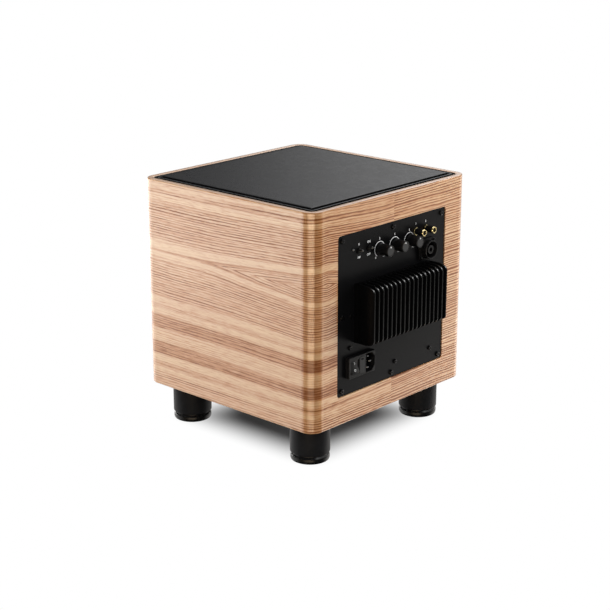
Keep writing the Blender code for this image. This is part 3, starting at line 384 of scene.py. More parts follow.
plainFinish("blackSteel", (0.0025, 0.0025, 0.0027), (0.006, 0.006, 0.0063), 0.18, 0.28, grain=2400.0,
    cloud=220.0, bump=0.1, shine=0.14)
plainFinish("brightNickel", (0.62, 0.61, 0.58), (0.72, 0.71, 0.69), 0.14, 0.26, 1.0, grain=900.0, cloud=120.0,
    bump=0.04)
# dark nickel: the toggle levers' darker finish, and painted shade on the inlet pins in their recess
plainFinish("darkNickelAndShade", (0.12, 0.122, 0.125), (0.18, 0.183, 0.187), 0.30, 0.42, 1.0, grain=900.0, cloud=160.0,
    bump=0.05)
plainFinish("goldPlate", (0.74, 0.60, 0.28), (0.86, 0.74, 0.42), 0.14, 0.24, 1.0, grain=900.0, cloud=140.0, bump=0.04)
plainFinish("zincSteel", (0.42, 0.42, 0.43), (0.55, 0.55, 0.54), 0.28, 0.45, 1.0, grain=700.0, cloud=25.0, bump=0.1)
plainFinish("enamelledCopper", (0.55, 0.22, 0.09), (0.70, 0.32, 0.14), 0.25, 0.4, 1.0, grain=3000.0, cloud=200.0)
plainFinish("ferrite", (0.030, 0.030, 0.034), (0.055, 0.055, 0.058), 0.5, 0.7, grain=900.0, cloud=40.0, bump=0.4)
plainFinish("coatedPulp", (0.016, 0.016, 0.016), (0.034, 0.033, 0.032), 0.55, 0.8, grain=700.0, cloud=55.0,
    bump=0.6, depth=0.00015)
plainFinish("treatedCloth", (0.40, 0.24, 0.08), (0.58, 0.38, 0.15), 0.7, 0.9, grain=1800.0, cloud=80.0,
    bump=0.6, depth=0.0001)
plainFinish("blackBoardPaint", (0.014, 0.014, 0.014), (0.026, 0.026, 0.026), 0.55, 0.75, grain=600.0,
    cloud=15.0, bump=0.4, depth=0.00012)
plainFinish("circuitBoard", (0.012, 0.085, 0.035), (0.022, 0.14, 0.06), 0.3, 0.5, grain=500.0, cloud=60.0)
plainFinish("gasketFoam", (0.018, 0.018, 0.018), (0.04, 0.04, 0.04), 0.8, 0.95, grain=1500.0, cloud=70.0,
    bump=0.8, depth=0.0002)
plainFinish("whitePrint", (0.90, 0.90, 0.89), (0.97, 0.97, 0.96), 0.5, 0.65, grain=3000.0, cloud=300.0)
plainFinish("lampLens", (0.07, 0.074, 0.074), (0.11, 0.115, 0.115), 0.12, 0.22, coat=0.5, bump=0.0)
plainFinish("fuseGlass", (0.55, 0.60, 0.60), (0.72, 0.76, 0.76), 0.06, 0.14, coat=0.6, bump=0.0)

leather = {"base": (0.006, 0.006, 0.0065), "high": (0.0125, 0.0125, 0.0150), "cell": 780.0, "crease": 95.0,
    "pore": 2600.0, "warp": 240.0, "pull": (0.0012, -0.0010), "rough": 0.37, "polish": 0.11}


def leatherMaterial(look):
    tree, shader = newMaterial("blackLeather")
    place = addNode(tree, "TexCoord").outputs["Object"]
    warp = noise(place, look["warp"])
    pulled = addNode(tree, "CombineXYZ", {axis: times(warp, pull) for axis, pull in enumerate(look["pull"])})
    spot = addNode(tree, "VectorMath", {0: place, 1: pulled.outputs[0]}, operation="ADD").outputs[0]
    cells = addNode(tree, "TexVoronoi", {"Vector": spot, "Scale": look["cell"]}, feature="DISTANCE_TO_EDGE")
    pebble = fade(cells.outputs["Distance"], 0.0, 0.28)
    folds = fade(noise(place, look["crease"], 4.0, 0.6), 0.35, 0.65)
    pores = fade(noise(place, look["pore"], 1.0), 0.40, 0.55)
    high = add(times(pebble, 0.7), times(folds, 0.3))
    relief = dents(add(high, times(pores, 0.12)), 0.35, 0.00012)
    feed(shader, {"Base Color": blendColour(high, look["base"], look["high"]),
        "Roughness": minus(look["rough"], times(high, look["polish"])), "Normal": relief})


leatherMaterial(leather)
print("materials ready:", len(finishes))


def newPiece(name, bm, finish, sharp):  # finish: the names of one or two materials
    piece = addObject(name, meshFrom(name, bm))
    piece.data.shade_smooth()
    piece.data.set_sharp_from_angle(angle=radians(sharp))
    for material in finish.split():
        piece.data.materials.append(finishes[material])
    return piece


def addPiece(name, bm, finish, node=None, body="cabinet", sharp=25.0):
    piece = newPiece(name, bm, finish, sharp)
    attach(piece, body)
    if node:
        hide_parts(node)


def bevelEdges(bm, edges, width, segments):
    bmesh.ops.bevel(bm, geom=list(edges), offset=width, offset_type="OFFSET", segments=segments, profile=0.5,
        affect="EDGES", clamp_overlap=True, material=-1)


def soften(bm, width, segments=2, degrees=30.0):
    limit = radians(degrees)
    bevelEdges(bm, [e for e in bm.edges if e.is_manifold and e.calc_face_angle(0) > limit], width, segments)


def lathe(outline, steps, closed=False):
    bm = bmesh.new()
    ring = [bm.verts.new((radius, 0, height)) for radius, height in outline]
    pairs = list(zip(ring, ring[1:] + ring[:1])) if closed else list(zip(ring, ring[1:]))
    chain = [bm.edges.new(pair) for pair in pairs]
    bmesh.ops.spin(bm, geom=ring + chain, cent=(0, 0, 0), axis=(0, 0, 1), steps=steps, angle=tau, use_merge=True)
    bmesh.ops.remove_doubles(bm, verts=bm.verts, dist=1e-6)
    bmesh.ops.recalc_face_normals(bm, faces=bm.faces)
    return bm


def rod(radius, low, high, steps):
    return lathe([(0, low), (radius, low), (radius, high), (0, high)], steps)


def tube(inner, outer, low, high, steps):
    return lathe([(inner, low), (outer, low), (outer, high), (inner, high)], steps, closed=True)


def slab(sizeX, sizeY, low, high, corner=0.0, steps=6):
    bm = bmesh.new()
    bmesh.ops.create_cube(bm, size=1.0)
    bmesh.ops.scale(bm, vec=(sizeX, sizeY, high - low), verts=bm.verts)
    bmesh.ops.translate(bm, vec=(0, 0, (low + high) / 2), verts=bm.verts)
    if corner:
        bevelEdges(bm, [e for e in bm.edges if abs(e.verts[0].co.z - e.verts[1].co.z) > 1e-6], corner, steps)
    return bm


def hexagon(radius, depth, height):
    bm = bmesh.new()
    bmesh.ops.create_cone(bm, cap_ends=True, segments=6, radius1=radius, radius2=radius, depth=depth)
    bmesh.ops.translate(bm, vec=(0, 0, height), verts=bm.verts)
    return bm


def outline(halfX, halfY, corner, steps, guard=0.0012):
    spots = []
    for turn, (signX, signY) in enumerate(((1, 1), (-1, 1), (-1, -1), (1, -1))):
        arc = [pi / 2 * (turn + k / steps) for k in range(steps + 1)]
        middle = Vector((signX * (halfX - corner), signY * (halfY - corner)))
        ring = [middle + corner * Vector((cos(a), sin(a))) for a in arc]
        first, last = (Vector((-sin(a), cos(a))) for a in (arc[0], arc[-1]))
        spots += [ring[0] - first * guard] + ring + [ring[-1] + last * guard]  # guard points keep the flats flat
    return spots


def loopStack(levels, steps):  # a stack of rounded rectangles, closed at both ends
    bm = bmesh.new()
    cap = None
    for index, (halfX, halfY, corner, height) in enumerate(levels):
        spots = outline(halfX, halfY, corner, steps)
        if cap is None:
            cap = bm.faces.new([bm.verts.new((0, 0, 0)) for spot in spots])
        else:
            below = cap
            grown = bmesh.ops.extrude_face_region(bm, geom=[below])["geom"]
            cap = next(part for part in grown if isinstance(part, bmesh.types.BMFace))
            if index > 1:
                bmesh.ops.delete(bm, geom=[below], context="FACES_ONLY")
        for vert, spot in zip(cap.verts, spots):
            vert.co = (spot.x, spot.y, height)
    bmesh.ops.recalc_face_normals(bm, faces=bm.faces)
    return bm


def placed(bm, matrix):
    bmesh.ops.transform(bm, matrix=matrix, verts=bm.verts)
    return bm


def addInto(bm, other, matrix=Matrix()):
    spare = meshFrom("spare", placed(other, matrix))
    bm.from_mesh(spare)
    bpy.data.meshes.remove(spare)


def evaluated(item):  # the final shape of an object
    graph = bpy.context.evaluated_depsgraph_get()
    spare = bpy.data.meshes.new_from_object(item.evaluated_get(graph))
    bm = bmesh.new()
    bm.from_mesh(spare)
    bpy.data.meshes.remove(spare)
    return bm


def carve(bm, cutter):
    shapes = {"carveBody": bm, "carveTool": cutter}
    body, tool = [addObject(name, meshFrom(name, shape)) for name, shape in shapes.items()]
    step = body.modifiers.new("carve", "BOOLEAN")
    step.operation, step.solver, step.object = "DIFFERENCE", "EXACT", tool
    out = evaluated(body)
    for item in (body, tool):
        mesh = item.data
        bpy.data.objects.remove(item)
        bpy.data.meshes.remove(mesh)
    return out


turnRear = Matrix(((-1, 0, 0), (0, 0, 1), (0, 1, 0))).to_4x4()  # drawn facing up, then turned to face the rear


def onPlate(x, z):
    return shift(x, faceY, plateZ + z) @ turnRear


cabinet = {"corner": 0.0165, "cornerSteps": 14, "ease": 0.0010, "rim": 0.0082, "lip": 0.0004, "recess": 0.012,
    "wall": 0.018, "ceiling": 0.016, "rebate": (0.203, 0.199), "rebateDepth": 0.0051, "rebateCorner": 0.0045,
    "aperture": (0.176, 0.174)}
halfX, halfY = (shellHigh.x - shellLow.x) / 2, (shellHigh.y - shellLow.y) / 2
cabinetHeight = shellHigh.z - shellLow.z
straightX, straightY = halfX - cabinet["corner"], halfY - cabinet["corner"]
quarter = cabinet["corner"] * pi / 2
perimeter = 4 * (straightX + straightY + quarter)

veneer = {
    "pale": (0.77, 0.475, 0.232), "mid": (0.58, 0.255, 0.095), "dark": (0.22, 0.060, 0.012),
    "rosy": (0.68, 0.35, 0.19), "lipping": (0.64, 0.47, 0.36), "glue": (0.16, 0.075, 0.035),
    "noseHeight": 0.179, "noseStart": 0.30, "noseSlope": 0.135, "noseFall": 0.050, "noseWidth": 0.030,
    "rearNose": 0.030, "rearSlope": 0.27, "pitch": 0.0033, "drift": 0.0035, "ripple": 0.0006,
    "waves": 0.0022, "waveOnset": 0.03, "edge": 0.001, "leaf": 0.42, "bandTop": 268,
}
# height on the cabinet in mm, tone of the band from pale to dark, strength of its growth lines
veneerBands = (
    (0, 0.34, 0.9), (16, 0.32, 0.9), (19, 0.12, 0.3), (25, 0.14, 0.3), (27, 0.46, 0.5), (31, 0.44, 0.5),
    (34, 0.10, 0.15), (41, 0.10, 0.15), (44, 0.80, 0.7), (57, 0.74, 0.7), (61, 0.16, 0.35), (76, 0.14, 0.35),
    (80, 0.86, 0.7), (94, 0.72, 0.7), (97, 0.12, 0.2), (103, 0.12, 0.2), (106, 0.46, 0.4), (109, 0.42, 0.4),
    (112, 0.14, 0.2), (119, 0.16, 0.3), (122, 0.40, 1.0), (168, 0.36, 1.0), (172, 0.08, 0.12), (189, 0.08, 0.12),
    (193, 0.36, 1.0), (240, 0.40, 1.0), (244, 0.14, 0.3), (249, 0.12, 0.3), (252, 0.50, 0.9), (257, 0.46, 0.9),
    (260, 0.12, 0.3), (265, 0.28, 0.7),
)


def veneerMaterial(look, height, total):
    tree, shader = newMaterial("walnutVeneer")
    uv = addNode(tree, "UVMap", uv_map="veneer").outputs["UV"]
    along, up = addNode(tree, "SeparateXYZ", {0: uv}).outputs[:2]
    start, end = straightX - look["edge"], straightX + quarter + look["edge"]  # the near round edge
    leaf = fade(along, total - look["leaf"], total - end)  # the far end of the sheet, right of the rear seam

    def spot(*values):
        return addNode(tree, "CombineXYZ", dict(enumerate(values))).outputs[0]

    def grain(level, rateAlong, rateAcross, seed, detail, rough=0.5):
        return noise(spot(times(along, rateAlong), times(level, rateAcross), seed), 1.0, detail, rough)

    def swing(value, size):
        return times(minus(value, 0.5), size * 2)

    def rounded(value, ease):  # its size, without a kink at nought
        return calc("SQRT", add(times(value, value), ease))

    def opening(reach, slope):  # grows smoothly from nought past the point of the V
        return times(add(reach, rounded(reach, 0.0009)), slope / 2)

    rear = add(fade(along, start, start - 0.004), fade(along, total - end, total - start))
    onset = look["waveOnset"]
    onset = add(fade(along, start, start - onset), fade(along, total - end, total - end + onset))
    waves = times(swing(grain(up, 11.0, 24.0, 21.0, 2.0), look["waves"]), onset)
    drift = swing(grain(up, 3.0, 6.0, 0.0, 1.0), look["drift"])
    level = add(up, drift, swing(grain(up, 26.0, 80.0, 0.0, 2.0), look["ripple"]), waves)

    # the figure parts in a long V towards the near end of the sheet
    away = minus(level, look["noseHeight"])
    far = rounded(away, 0.0000015)
    spread = calc("MINIMUM", opening(minus(look["noseStart"], along), look["noseSlope"]), look["noseWidth"])
    spread = calc("MINIMUM", spread, opening(minus(along, look["rearNose"]), look["rearSlope"]))
    ring = minus(far, times(spread, calc("EXPONENT", times(far, -1 / look["noseFall"]))))
    vein = fade(calc("ABSOLUTE", ring), 0.0022, 0.0008)  # one darker line runs through the V
    inner = fade(ring, -0.0004, -0.0018)  # between the arms of the V
    ring = add(look["noseHeight"], times(calc("SIGN", away), ring))

    # growth lines, each with a force of its own and broken here and there
    wander = noise(spot(times(ring, 75.0), times(along, 1.2), 0.0), 1.0)
    phase = add(calc("DIVIDE", ring, look["pitch"]), times(wander, 2.6))
    saw = calc("FRACT", phase)
    own = noise(spot(times(calc("FLOOR", phase), 0.43), times(along, 5.0), 0.0), 1.0, 1.0)
    broken = grain(ring, 34.0, 420.0, 8.0, 2.0)
    line = times(fade(saw, 0.34, 0.84), fade(saw, 1.0, 0.88), fade(own, 0.28, 0.70, 0.40),
        fade(broken, 0.30, 0.62, 0.40))

    stops = [(mm / look["bandTop"], (tone, force, 0)) for mm, tone, force in veneerBands]
    parts = addNode(tree, "SeparateColor", {0: ramp(calc("DIVIDE", ring, height), stops)}).outputs
    clouds = fade(grain(ring, 2.5, 26.0, 3.0, 2.0), 0.3, 0.75, 0.05, 0.62)
    band = calc("MAXIMUM", mixFloat(leaf, parts[0], clouds), times(inner, 0.36))
    force = calc("MAXIMUM", mixFloat(leaf, parts[1], 0.85), times(inner, 0.95))

    fibre = grain(up, 70.0, 760.0, 1.0, 3.0, 0.6)
    streak = grain(ring, 7.0, 520.0, 4.0, 2.0)
    pores = fade(grain(up, 80.0, 1700.0, 9.0, 1.0), 0.60, 0.74)
    flecks = fade(grain(up, 52.0, 440.0, 12.0, 2.0), 0.48, 0.72)
    mottle = swing(grain(up, 9.0, 16.0, 5.0, 3.0), 0.10)
    # painted shade on the near round edge: darker bands and stronger lines than on the sides; the rear shows stronger
    # growth lines
    nearEdgeShade = times(fade(along, start - 0.002, start + 0.002), fade(along, end + 0.002, end - 0.002))
    weight = add(times(nearEdgeShade, 0.40), times(rear, 0.10), 0.60)
    force = times(force, add(times(nearEdgeShade, 0.35), times(rear, 1.35), 0.95))
    strands = times(add(swing(fibre, 0.38), swing(streak, 0.28)), add(1.0, times(rear, 0.6)))
    dark = add(times(band, weight), times(line, force), strands, mottle, times(vein, 0.44), times(flecks, 0.20),
        times(pores, 0.16))

    tones = ramp(dark, [(0.0, look["pale"]), (0.5, look["mid"]), (1.0, look["dark"])])
    warm = fade(grain(up, 5.0, 14.0, 6.0, 2.0), 0.3, 0.7, 0.0, 0.4)
    colour = blendColour(warm, tones, blendColour(0.5, tones, look["rosy"]))
    rim = fade(up, height + 0.0006, height + 0.0012)
    colour = blendColour(rim, colour, blendColour(times(dark, 0.5), look["lipping"], tones))
    glue = times(fade(up, height - 0.0004, height + 0.0003), fade(up, height + 0.0011, height + 0.0006))
    colour = blendColour(times(glue, 0.6), colour, look["glue"])
    aslant = fade(addNode(tree, "LayerWeight").outputs["Facing"], 0.50, 0.80)
    gloss = calc("MAXIMUM", aslant, fade(dark, 0.15, 0.90, 1.0, 0.30))  # open pores break the gloss
    relief = dents(add(times(line, -0.5), times(pores, -0.6)), 0.25, 0.00006)
    feed(shader, {"Base Color": colour, "Roughness": add(0.34, times(fibre, 0.16)), "Specular IOR Level": 0.12,
        "Coat Weight": gloss, "Coat Roughness": 0.12, "Coat IOR": 1.6, "Normal": relief})


def roundCabinet(x, y):  # how far round from the rear seam, and how far in from the outside
    y -= centreY
    coreX, coreY = max(-straightX, min(straightX, x)), max(-straightY, min(straightY, y))
    offX, offY = x - coreX, y - coreY
    hair = 1e-5  # a hair short of a quarter counts as the next quarter
    angle = (atan2(offX, offY) + hair) % tau
    walked = (coreX, straightX + straightY - coreY, 2 * straightX + 2 * straightY - coreX,
        3 * straightX + 3 * straightY + coreY)[int(angle / (pi / 2))]
    return (walked + cabinet["corner"] * (angle - hair)) % perimeter, cabinet["corner"] - hypot(offX, offY)


def makeCabinet(look):
    ease, rim, lip, top = look["ease"], look["rim"], look["lip"], cabinetHeight

    def level(inward, height):
        return (halfX - inward, halfY - inward, look["corner"] - inward, height)

    turns = [pi / 2 * k / 3 for k in range(4)]
    levels = [level(ease * (1 - sin(a)), ease * (1 - cos(a))) for a in turns]
    levels += [level(0, ease * 2), level(0, top - ease * 2)]  # keep the sides flat between the eased edges
    levels += [level(ease * (1 - cos(a)), top - ease * (1 - sin(a))) for a in turns]
    levels += [level(rim - lip, top), level(rim - lip * 0.3, top - lip * 0.3)]
    levels += [level(rim, top - lip), level(rim, top - look["recess"])]
    middle = shift(0, centreY, 0)
    bm = placed(loopStack(levels, look["cornerSteps"]), middle @ shift(0, 0, bottomZ))

    room = [2 * (half - look["wall"]) for half in (halfX, halfY)]
    room = slab(*room, bottomZ - 0.05, shellHigh.z - look["recess"] - look["ceiling"], 0.004, 4)
    mouth = slab(*look["aperture"], -0.06, 0.01, 0.006)
    rebate = slab(*look["rebate"], -look["rebateDepth"], 0.01, look["rebateCorner"], 8)
    for cutter, place in ((room, middle), (mouth, onPlate(0, 0)), (rebate, onPlate(0, 0))):
        bm = carve(bm, placed(cutter, place))

    geometry = list(bm.verts) + list(bm.edges) + list(bm.faces)
    bmesh.ops.bisect_plane(bm, geom=geometry, plane_co=(0, 0, 0), plane_no=(1, 0, 0), dist=1e-6)  # the rear seam
    bmesh.ops.remove_doubles(bm, verts=bm.verts, dist=1e-6)
    bmesh.ops.recalc_face_normals(bm, faces=bm.faces)
    sheet = bm.loops.layers.uv.new("veneer")
    for face in bm.faces:
        middle = face.calc_center_median()
        about, inside = roundCabinet(middle.x, middle.y)
        if inside > rim - 0.0003 and -look["recess"] - 0.0005 < middle.z - shellHigh.z < -0.0003:
            face.material_index = 1  # black inside the recess, which darkens the gap around the leather
        for loop in face.loops:
            place, depth = roundCabinet(loop.vert.co.x, loop.vert.co.y)
            place -= perimeter * round((place - about) / perimeter)
            rise = loop.vert.co.z - bottomZ
            loop[sheet].uv = (place, rise + max(0.0, depth) * (1 if rise > cabinetHeight / 2 else -1))
    return bm


veneerMaterial(veneer, cabinetHeight, perimeter)
addPiece("cabinetShell", makeCabinet(cabinet), "walnutVeneer blackBoardPaint", "cabinet_shell", sharp=30)
print("cabinet done")


topPanel = {"corner": 0.0041, "leastCorner": 0.0012, "edge": 0.0012, "roll": 0.0036, "groove": 0.0016,
    "grooveDepth": 0.0014, "raise": 0.0012, "shoulder": 0.0011, "border": 0.003}


def makeTopPanel(look):
    low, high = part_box("top_panel")
    spanX, spanY, top, roll = (high.x - low.x) / 2, (high.y - low.y) / 2, shellHigh.z, look["roll"]
    levels = [(spanX, spanY, look["corner"], low.z)]
    inward, height = 0.0, top - look["edge"]

    def move(across, up):
        nonlocal inward, height
        inward, height = inward + across, height + up
        corner = max(look["leastCorner"], look["corner"] - inward * 0.75)
        levels.append((spanX - inward, spanY - inward, corner, height))

    def bend(steps, across, up, flatFirst=False):
        for k in range(steps):
            a, b = pi / 2 * k / steps, pi / 2 * (k + 1) / steps
            late, early = cos(a) - cos(b), sin(b) - sin(a)
            move(across * (early if flatFirst else late), up * (late if flatFirst else early))

    move(0.0, 0.0)
    bend(7, roll * 0.26, look["edge"])  # rolled border: a quarter round outside, a tighter fall inside
    move(roll * 0.54, 0.0)
    bend(4, roll * 0.20, -look["grooveDepth"], True)
    move(look["groove"], 0.0)
    bend(6, look["shoulder"], look["grooveDepth"] + look["raise"])  # raised field with a rounded shoulder
    move(look["border"], 0.0)
    bm = loopStack(levels, 6)
    bm.normal_update()
    for face in bm.faces:  # painted shade: the turned-in edges and the groove take a darker, matt copy of the leather
        face.material_index = int(face.normal.z < 0.75 or face.calc_center_median().z < top - 0.0004)
    return placed(bm, shift(0, centreY, 0))


addPiece("topPanel", makeTopPanel(topPanel), "blackLeather leatherEdge", "top_panel", sharp=50)
print("top panel done")


foot = {"radius": 0.0246, "ring": 0.0241, "groove": 0.0222, "stud": 0.004, "plug": 0.009, "bore": 0.0093, "steps": 72}


def makeFeet(look):
    wide, ring, groove, top = look["radius"], look["ring"], look["groove"], bottomZ - 0.0003
    for name in ("front_left", "front_right", "rear_left", "rear_right"):
        low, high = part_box("foot_column_" + name)
        place = shift((low.x + high.x) / 2, (low.y + high.y) / 2, 0)
        column = lathe([(0, 0.0163), (look["bore"], 0.0163), (look["bore"], 0.0103), (groove, 0.0103),
            (groove, 0.0109), (wide - 0.0004, 0.0110), (wide, 0.0115), (wide, top - 0.0008),
            (wide - 0.0008, top), (look["stud"], top), (look["stud"], high.z), (0, high.z)], look["steps"])
        soften(column, 0.00025, 2, 28)
        side = name.title().replace("_", "")
        addPiece("footColumn" + side, placed(column, place), "footCoat", "foot_column_" + name)
        base = lathe([(0, 0), (ring - 0.0026, 0), (ring - 0.0008, 0.0010), (ring, 0.0030), (ring, 0.0062),
            (ring - 0.0003, 0.0072), (ring - 0.0009, 0.0082), (groove, 0.0092), (groove, 0.0100),
            (look["plug"], 0.0100), (look["plug"], 0.016), (0, 0.016)], look["steps"])
        soften(base, 0.0002, 2, 20)
        base.normal_update()
        for face in base.faces:  # polished shoulder
            middle = face.calc_center_median()
            if 0.005 < middle.z < 0.0095 and 0.36 < face.normal.z < 0.97 and middle.xy.length > groove:
                face.material_index = 1
        addPiece("footBase" + side, placed(base, place), "blackRubber polishedBlack", "foot_base_" + name)


makeFeet(foot)
print("feet done")


heatSink = {"fins": 18, "root": 0.0030, "tip": 0.0024, "base": 0.005, "curveDepth": 0.013, "curveDrop": 0.007,
    "curveSteps": 10, "ease": 0.00018}


def makeHeatSink(look):
    low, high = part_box("heat_sink")
    size, middle = high - low, (low + high) / 2
    bm = bmesh.new()
    back = slab(size.x, look["base"], -size.z / 2, size.z / 2)
    soften(back, look["ease"])
    addInto(bm, back, shift(middle.x, low.y + look["base"] / 2, middle.z))
    stretch = look["curveDepth"] / look["curveDrop"]
    deep = size.y - look["base"] * 0.6
    pitch = (size.x - look["root"]) / (look["fins"] - 1)
    for index in range(look["fins"]):
        fin = slab(look["root"], deep, -size.z / 2 * stretch, size.z / 2 * stretch)
        ends = [e for e in fin.edges if all(v.co.y > 0 and abs(v.co.z) > 0.01 for v in e.verts)
            and abs(e.verts[0].co.x - e.verts[1].co.x) > 1e-4]
        bevelEdges(fin, ends, look["curveDepth"], look["curveSteps"])
        bmesh.ops.scale(fin, vec=(1, 1, 1 / stretch), verts=fin.verts)
        for v in fin.verts:
            v.co.x *= 1 + (look["tip"] / look["root"] - 1) * (v.co.y / deep + 0.5)
        soften(fin, look["ease"], 2, 40)
        place = (middle.x - size.x / 2 + look["root"] / 2 + pitch * index, high.y - deep / 2, middle.z)
        addInto(bm, fin, shift(*place))
    bm.normal_update()
    for face in bm.faces:  # the curve at the top of each fin is polished by handling
        outer = face.calc_center_median().y > high.y - look["curveDepth"]
        if outer and face.normal.y > 0.3 and 0.2 < face.normal.z < 0.85:
            face.material_index = 1
    return bm


addPiece("heatSink", makeHeatSink(heatSink), "blackAnodised polishedBlack", "heat_sink")

screw = {"head": 0.0033, "socket": 0.0011, "shank": 0.0016, "seat": 0.0003, "top": 0.0021}
sinkScrews = ((0.0775, -0.0016), (0.0780, -0.0414), (-0.0070, -0.0800), (-0.0760, -0.0800))


def addScrew(name, length, place, node=None, **sizes):
    look = dict(screw, **sizes)
    head, shank, top = look["head"], look["shank"], look["top"]
    bm = lathe([(0, -length), (shank * 0.4, -length), (shank, -length + 0.002), (shank, look["seat"]),
        (head, look["seat"]), (head, 0.0011), (head * 0.9, 0.0017), (head * 0.65, top), (0, top)], 28)
    bm = carve(bm, hexagon(look["socket"] * 1.15, 0.0026, top))
    addPiece(name, placed(bm, place), "blackSteel", node)


for index in range(1, 9):
    low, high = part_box(f"plate_screw_{index}")
    place = onPlate((low.x + high.x) / 2, (low.z + high.z) / 2 - plateZ)
    addScrew(f"plateScrew{index}", faceY - low.y, place, f"plate_screw_{index}")
for index, spot in enumerate(sinkScrews, 1):
    addScrew(f"sinkScrew{index}", 0.0025, onPlate(*spot), head=0.0028)
print("heat sink and screws done")


knob = {"radius": 0.0073, "taper": 0.0003, "reach": 0.0175, "standoff": 0.0008, "bore": 0.0033, "hub": 0.0128,
    "skirt": 0.0048, "well": 0.0018, "dot": 0.0009, "dotPlace": 0.0046}
controls = {"crossover": 0.025, "line": -0.003, "speaker": -0.031}
controlZ = 0.070


def makeKnobs(look):
    wide, front, bore, skirt, dot = look["radius"], look["reach"], look["bore"], look["skirt"], look["dot"]
    thin = wide - look["taper"]
    for name, x in controls.items():
        title, body, place = name.title(), name + "_knob", onPlate(x, controlZ)
        bm = lathe([(0, look["hub"]), (bore, look["hub"]), (bore, look["well"]), (skirt, look["well"]),
            (skirt, look["standoff"]), (wide, look["standoff"]), (thin, front - 0.0005), (thin - 0.0005, front),
            (thin - 0.0011, front), (thin - 0.0013, front - 0.00025), (0, front - 0.00025)], 64)
        soften(bm, 0.00012, 2, 24)
        addPiece("knob" + title, placed(bm, place), "knobPlastic", "knob_" + name, body, 28)
        # a paler disc on the front of the knob: painted sheen
        disc = lathe([(0, front - 0.0009), (thin - 0.0014, front - 0.0009), (thin - 0.0014, front - 0.0002),
            (thin - 0.0016, front - 0.0001), (0, front - 0.0001)], 64)
        addPiece("knobFaceSheen" + title, placed(disc, place), "knobFaceSheen", body=body)
        bead = lathe([(0, front - 0.0006), (dot, front - 0.0006), (dot, front - 0.00004), (dot * 0.9, front),
            (0, front)], 20)
        place = place @ shift(0, look["dotPlace"], 0)
        addPiece("knobDot" + title, placed(bead, place), "whitePrint", body=body)


makeKnobs(knob)
print("knobs done")


toggle = {"bushing": 0.0030, "bore": 0.00195, "neck": 0.0011, "tip": 0.0015, "reach": 0.0070, "ball": 0.00165,
    "tilt": 13.0, "nut": 0.0042}
toggles = {"phase": 0.0632, "mode": 0.0452}
toggleZ = 0.075


def makeToggles(look):
    bushing, bore, ball, tip, reach = look["bushing"], look["bore"], look["ball"], look["tip"], look["reach"]
    for name, x in toggles.items():
        title, place = name.title(), onPlate(x, toggleZ)
        low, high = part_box("toggle_body_" + name)
        block = slab(high.x - low.x, high.z - low.z, low.y - faceY, behindPlate)
        soften(block, 0.0004)
        sleeve = lathe([(bore, -0.004), (bushing, -0.004), (bushing, 0.0017), (bushing - 0.0003, 0.0020),
            (bore + 0.0002, 0.0020), (bore, 0.0017)], 40, closed=True)
        addInto(block, sleeve)
        addPiece("toggleBody" + title, placed(block, place), "texturedPlastic", "toggle_body_" + name)
        nut = carve(hexagon(look["nut"], 0.0012, 0.0007), rod(bushing + 0.00005, -0.001, 0.003, 40))
        soften(nut, 0.00015, 2, 40)
        addPiece("toggleNut" + title, placed(nut, place), "blackSteel")
        pivot = [(ball * cos(a), ball * sin(a)) for a in (pi * (k / 12 - 0.5) for k in range(1, 10))]
        lever = lathe([(0, -ball)] + pivot + [(look["neck"], 0.0019), (tip, reach - 0.0016),
            (tip * 0.96, reach - 0.0008), (tip * 0.75, reach - 0.0003), (tip * 0.4, reach - 0.00005),
            (0, reach)], 32)
        lean = spin(radians(look["tilt"]), "X") @ turnRear
        place = shift(x, faceY, plateZ + toggleZ) @ lean
        addPiece("toggleLever" + title, placed(lever, place), "darkNickelAndShade", "toggle_lever_" + name,
            name + "_lever", 50)


makeToggles(toggle)

lamp = {"place": (0.0738, 0.0782), "radius": 0.0015, "body": 0.0021, "top": 0.0021}


def makeLamp(look):
    wide, body = look["radius"], look["body"]
    dome = [(wide * cos(a), 0.0006 + wide * sin(a)) for a in (pi / 2 * k / 6 for k in range(6))]
    stem = [(0, -0.0073), (body, -0.0073), (body, behindPlate), (wide, behindPlate)]
    bulb = lathe(stem + dome + [(0, look["top"])], 28)
    addPiece("statusLamp", placed(bulb, onPlate(*look["place"])), "lampLens", "status_lamp")


makeLamp(lamp)
print("switches and lamp done")


phono = {"radius": 0.00415, "inner": 0.00325, "reach": 0.014, "nut": 0.0052, "tail": -0.0123, "back": 0.0055,
    "pinHole": 0.00165, "pinDepth": 0.010, "band": (0.0024, 0.0126)}
phonos = {"left": -0.0434, "right": -0.0631}
phonoZ = 0.0785


def makePhonos(look):
    wide, inner, reach, tail, back = look["radius"], look["inner"], look["reach"], look["tail"], look["back"]
    rim, core, hole = reach - 0.0012, inner - 0.0003, look["pinHole"]
    for name, x in phonos.items():
        title, place = name.title(), onPlate(x, phonoZ)
        shell = lathe([(inner, tail), (back, tail), (back, behindPlate), (wide, behindPlate),
            (wide, reach - 0.0005), (wide - 0.0003, reach - 0.0001), (wide - 0.0005, reach), (inner, reach)],
            48, closed=True)
        soften(shell, 0.0001, 2, 40)
        nut = hexagon(look["nut"], 0.0018, 0.0012)
        soften(nut, 0.00025, 2, 40)
        addInto(shell, nut)
        addPiece("phonoShell" + title, placed(shell, place), "goldPlate", "phono_shell_" + name, sharp=40)
        # black band over most of the gold barrel: partly an insulating ring, mostly a painted dark reflection in the
        # gold
        band = tube(wide - 0.0001, wide + 0.00018, *look["band"], 48)
        addPiece("phonoReflectionBand" + title, placed(band, place), "satinPlastic")
        floor = rim - look["pinDepth"]
        plug = lathe([(0, tail), (core, tail), (core, rim), (hole + 0.0005, rim), (hole, rim - 0.0005),
            (hole, floor), (0, floor)], 40)
        addPiece("phonoInsulator" + title, placed(plug, place), "satinPlastic",
            "phono_insulator_" + name)


makePhonos(phono)

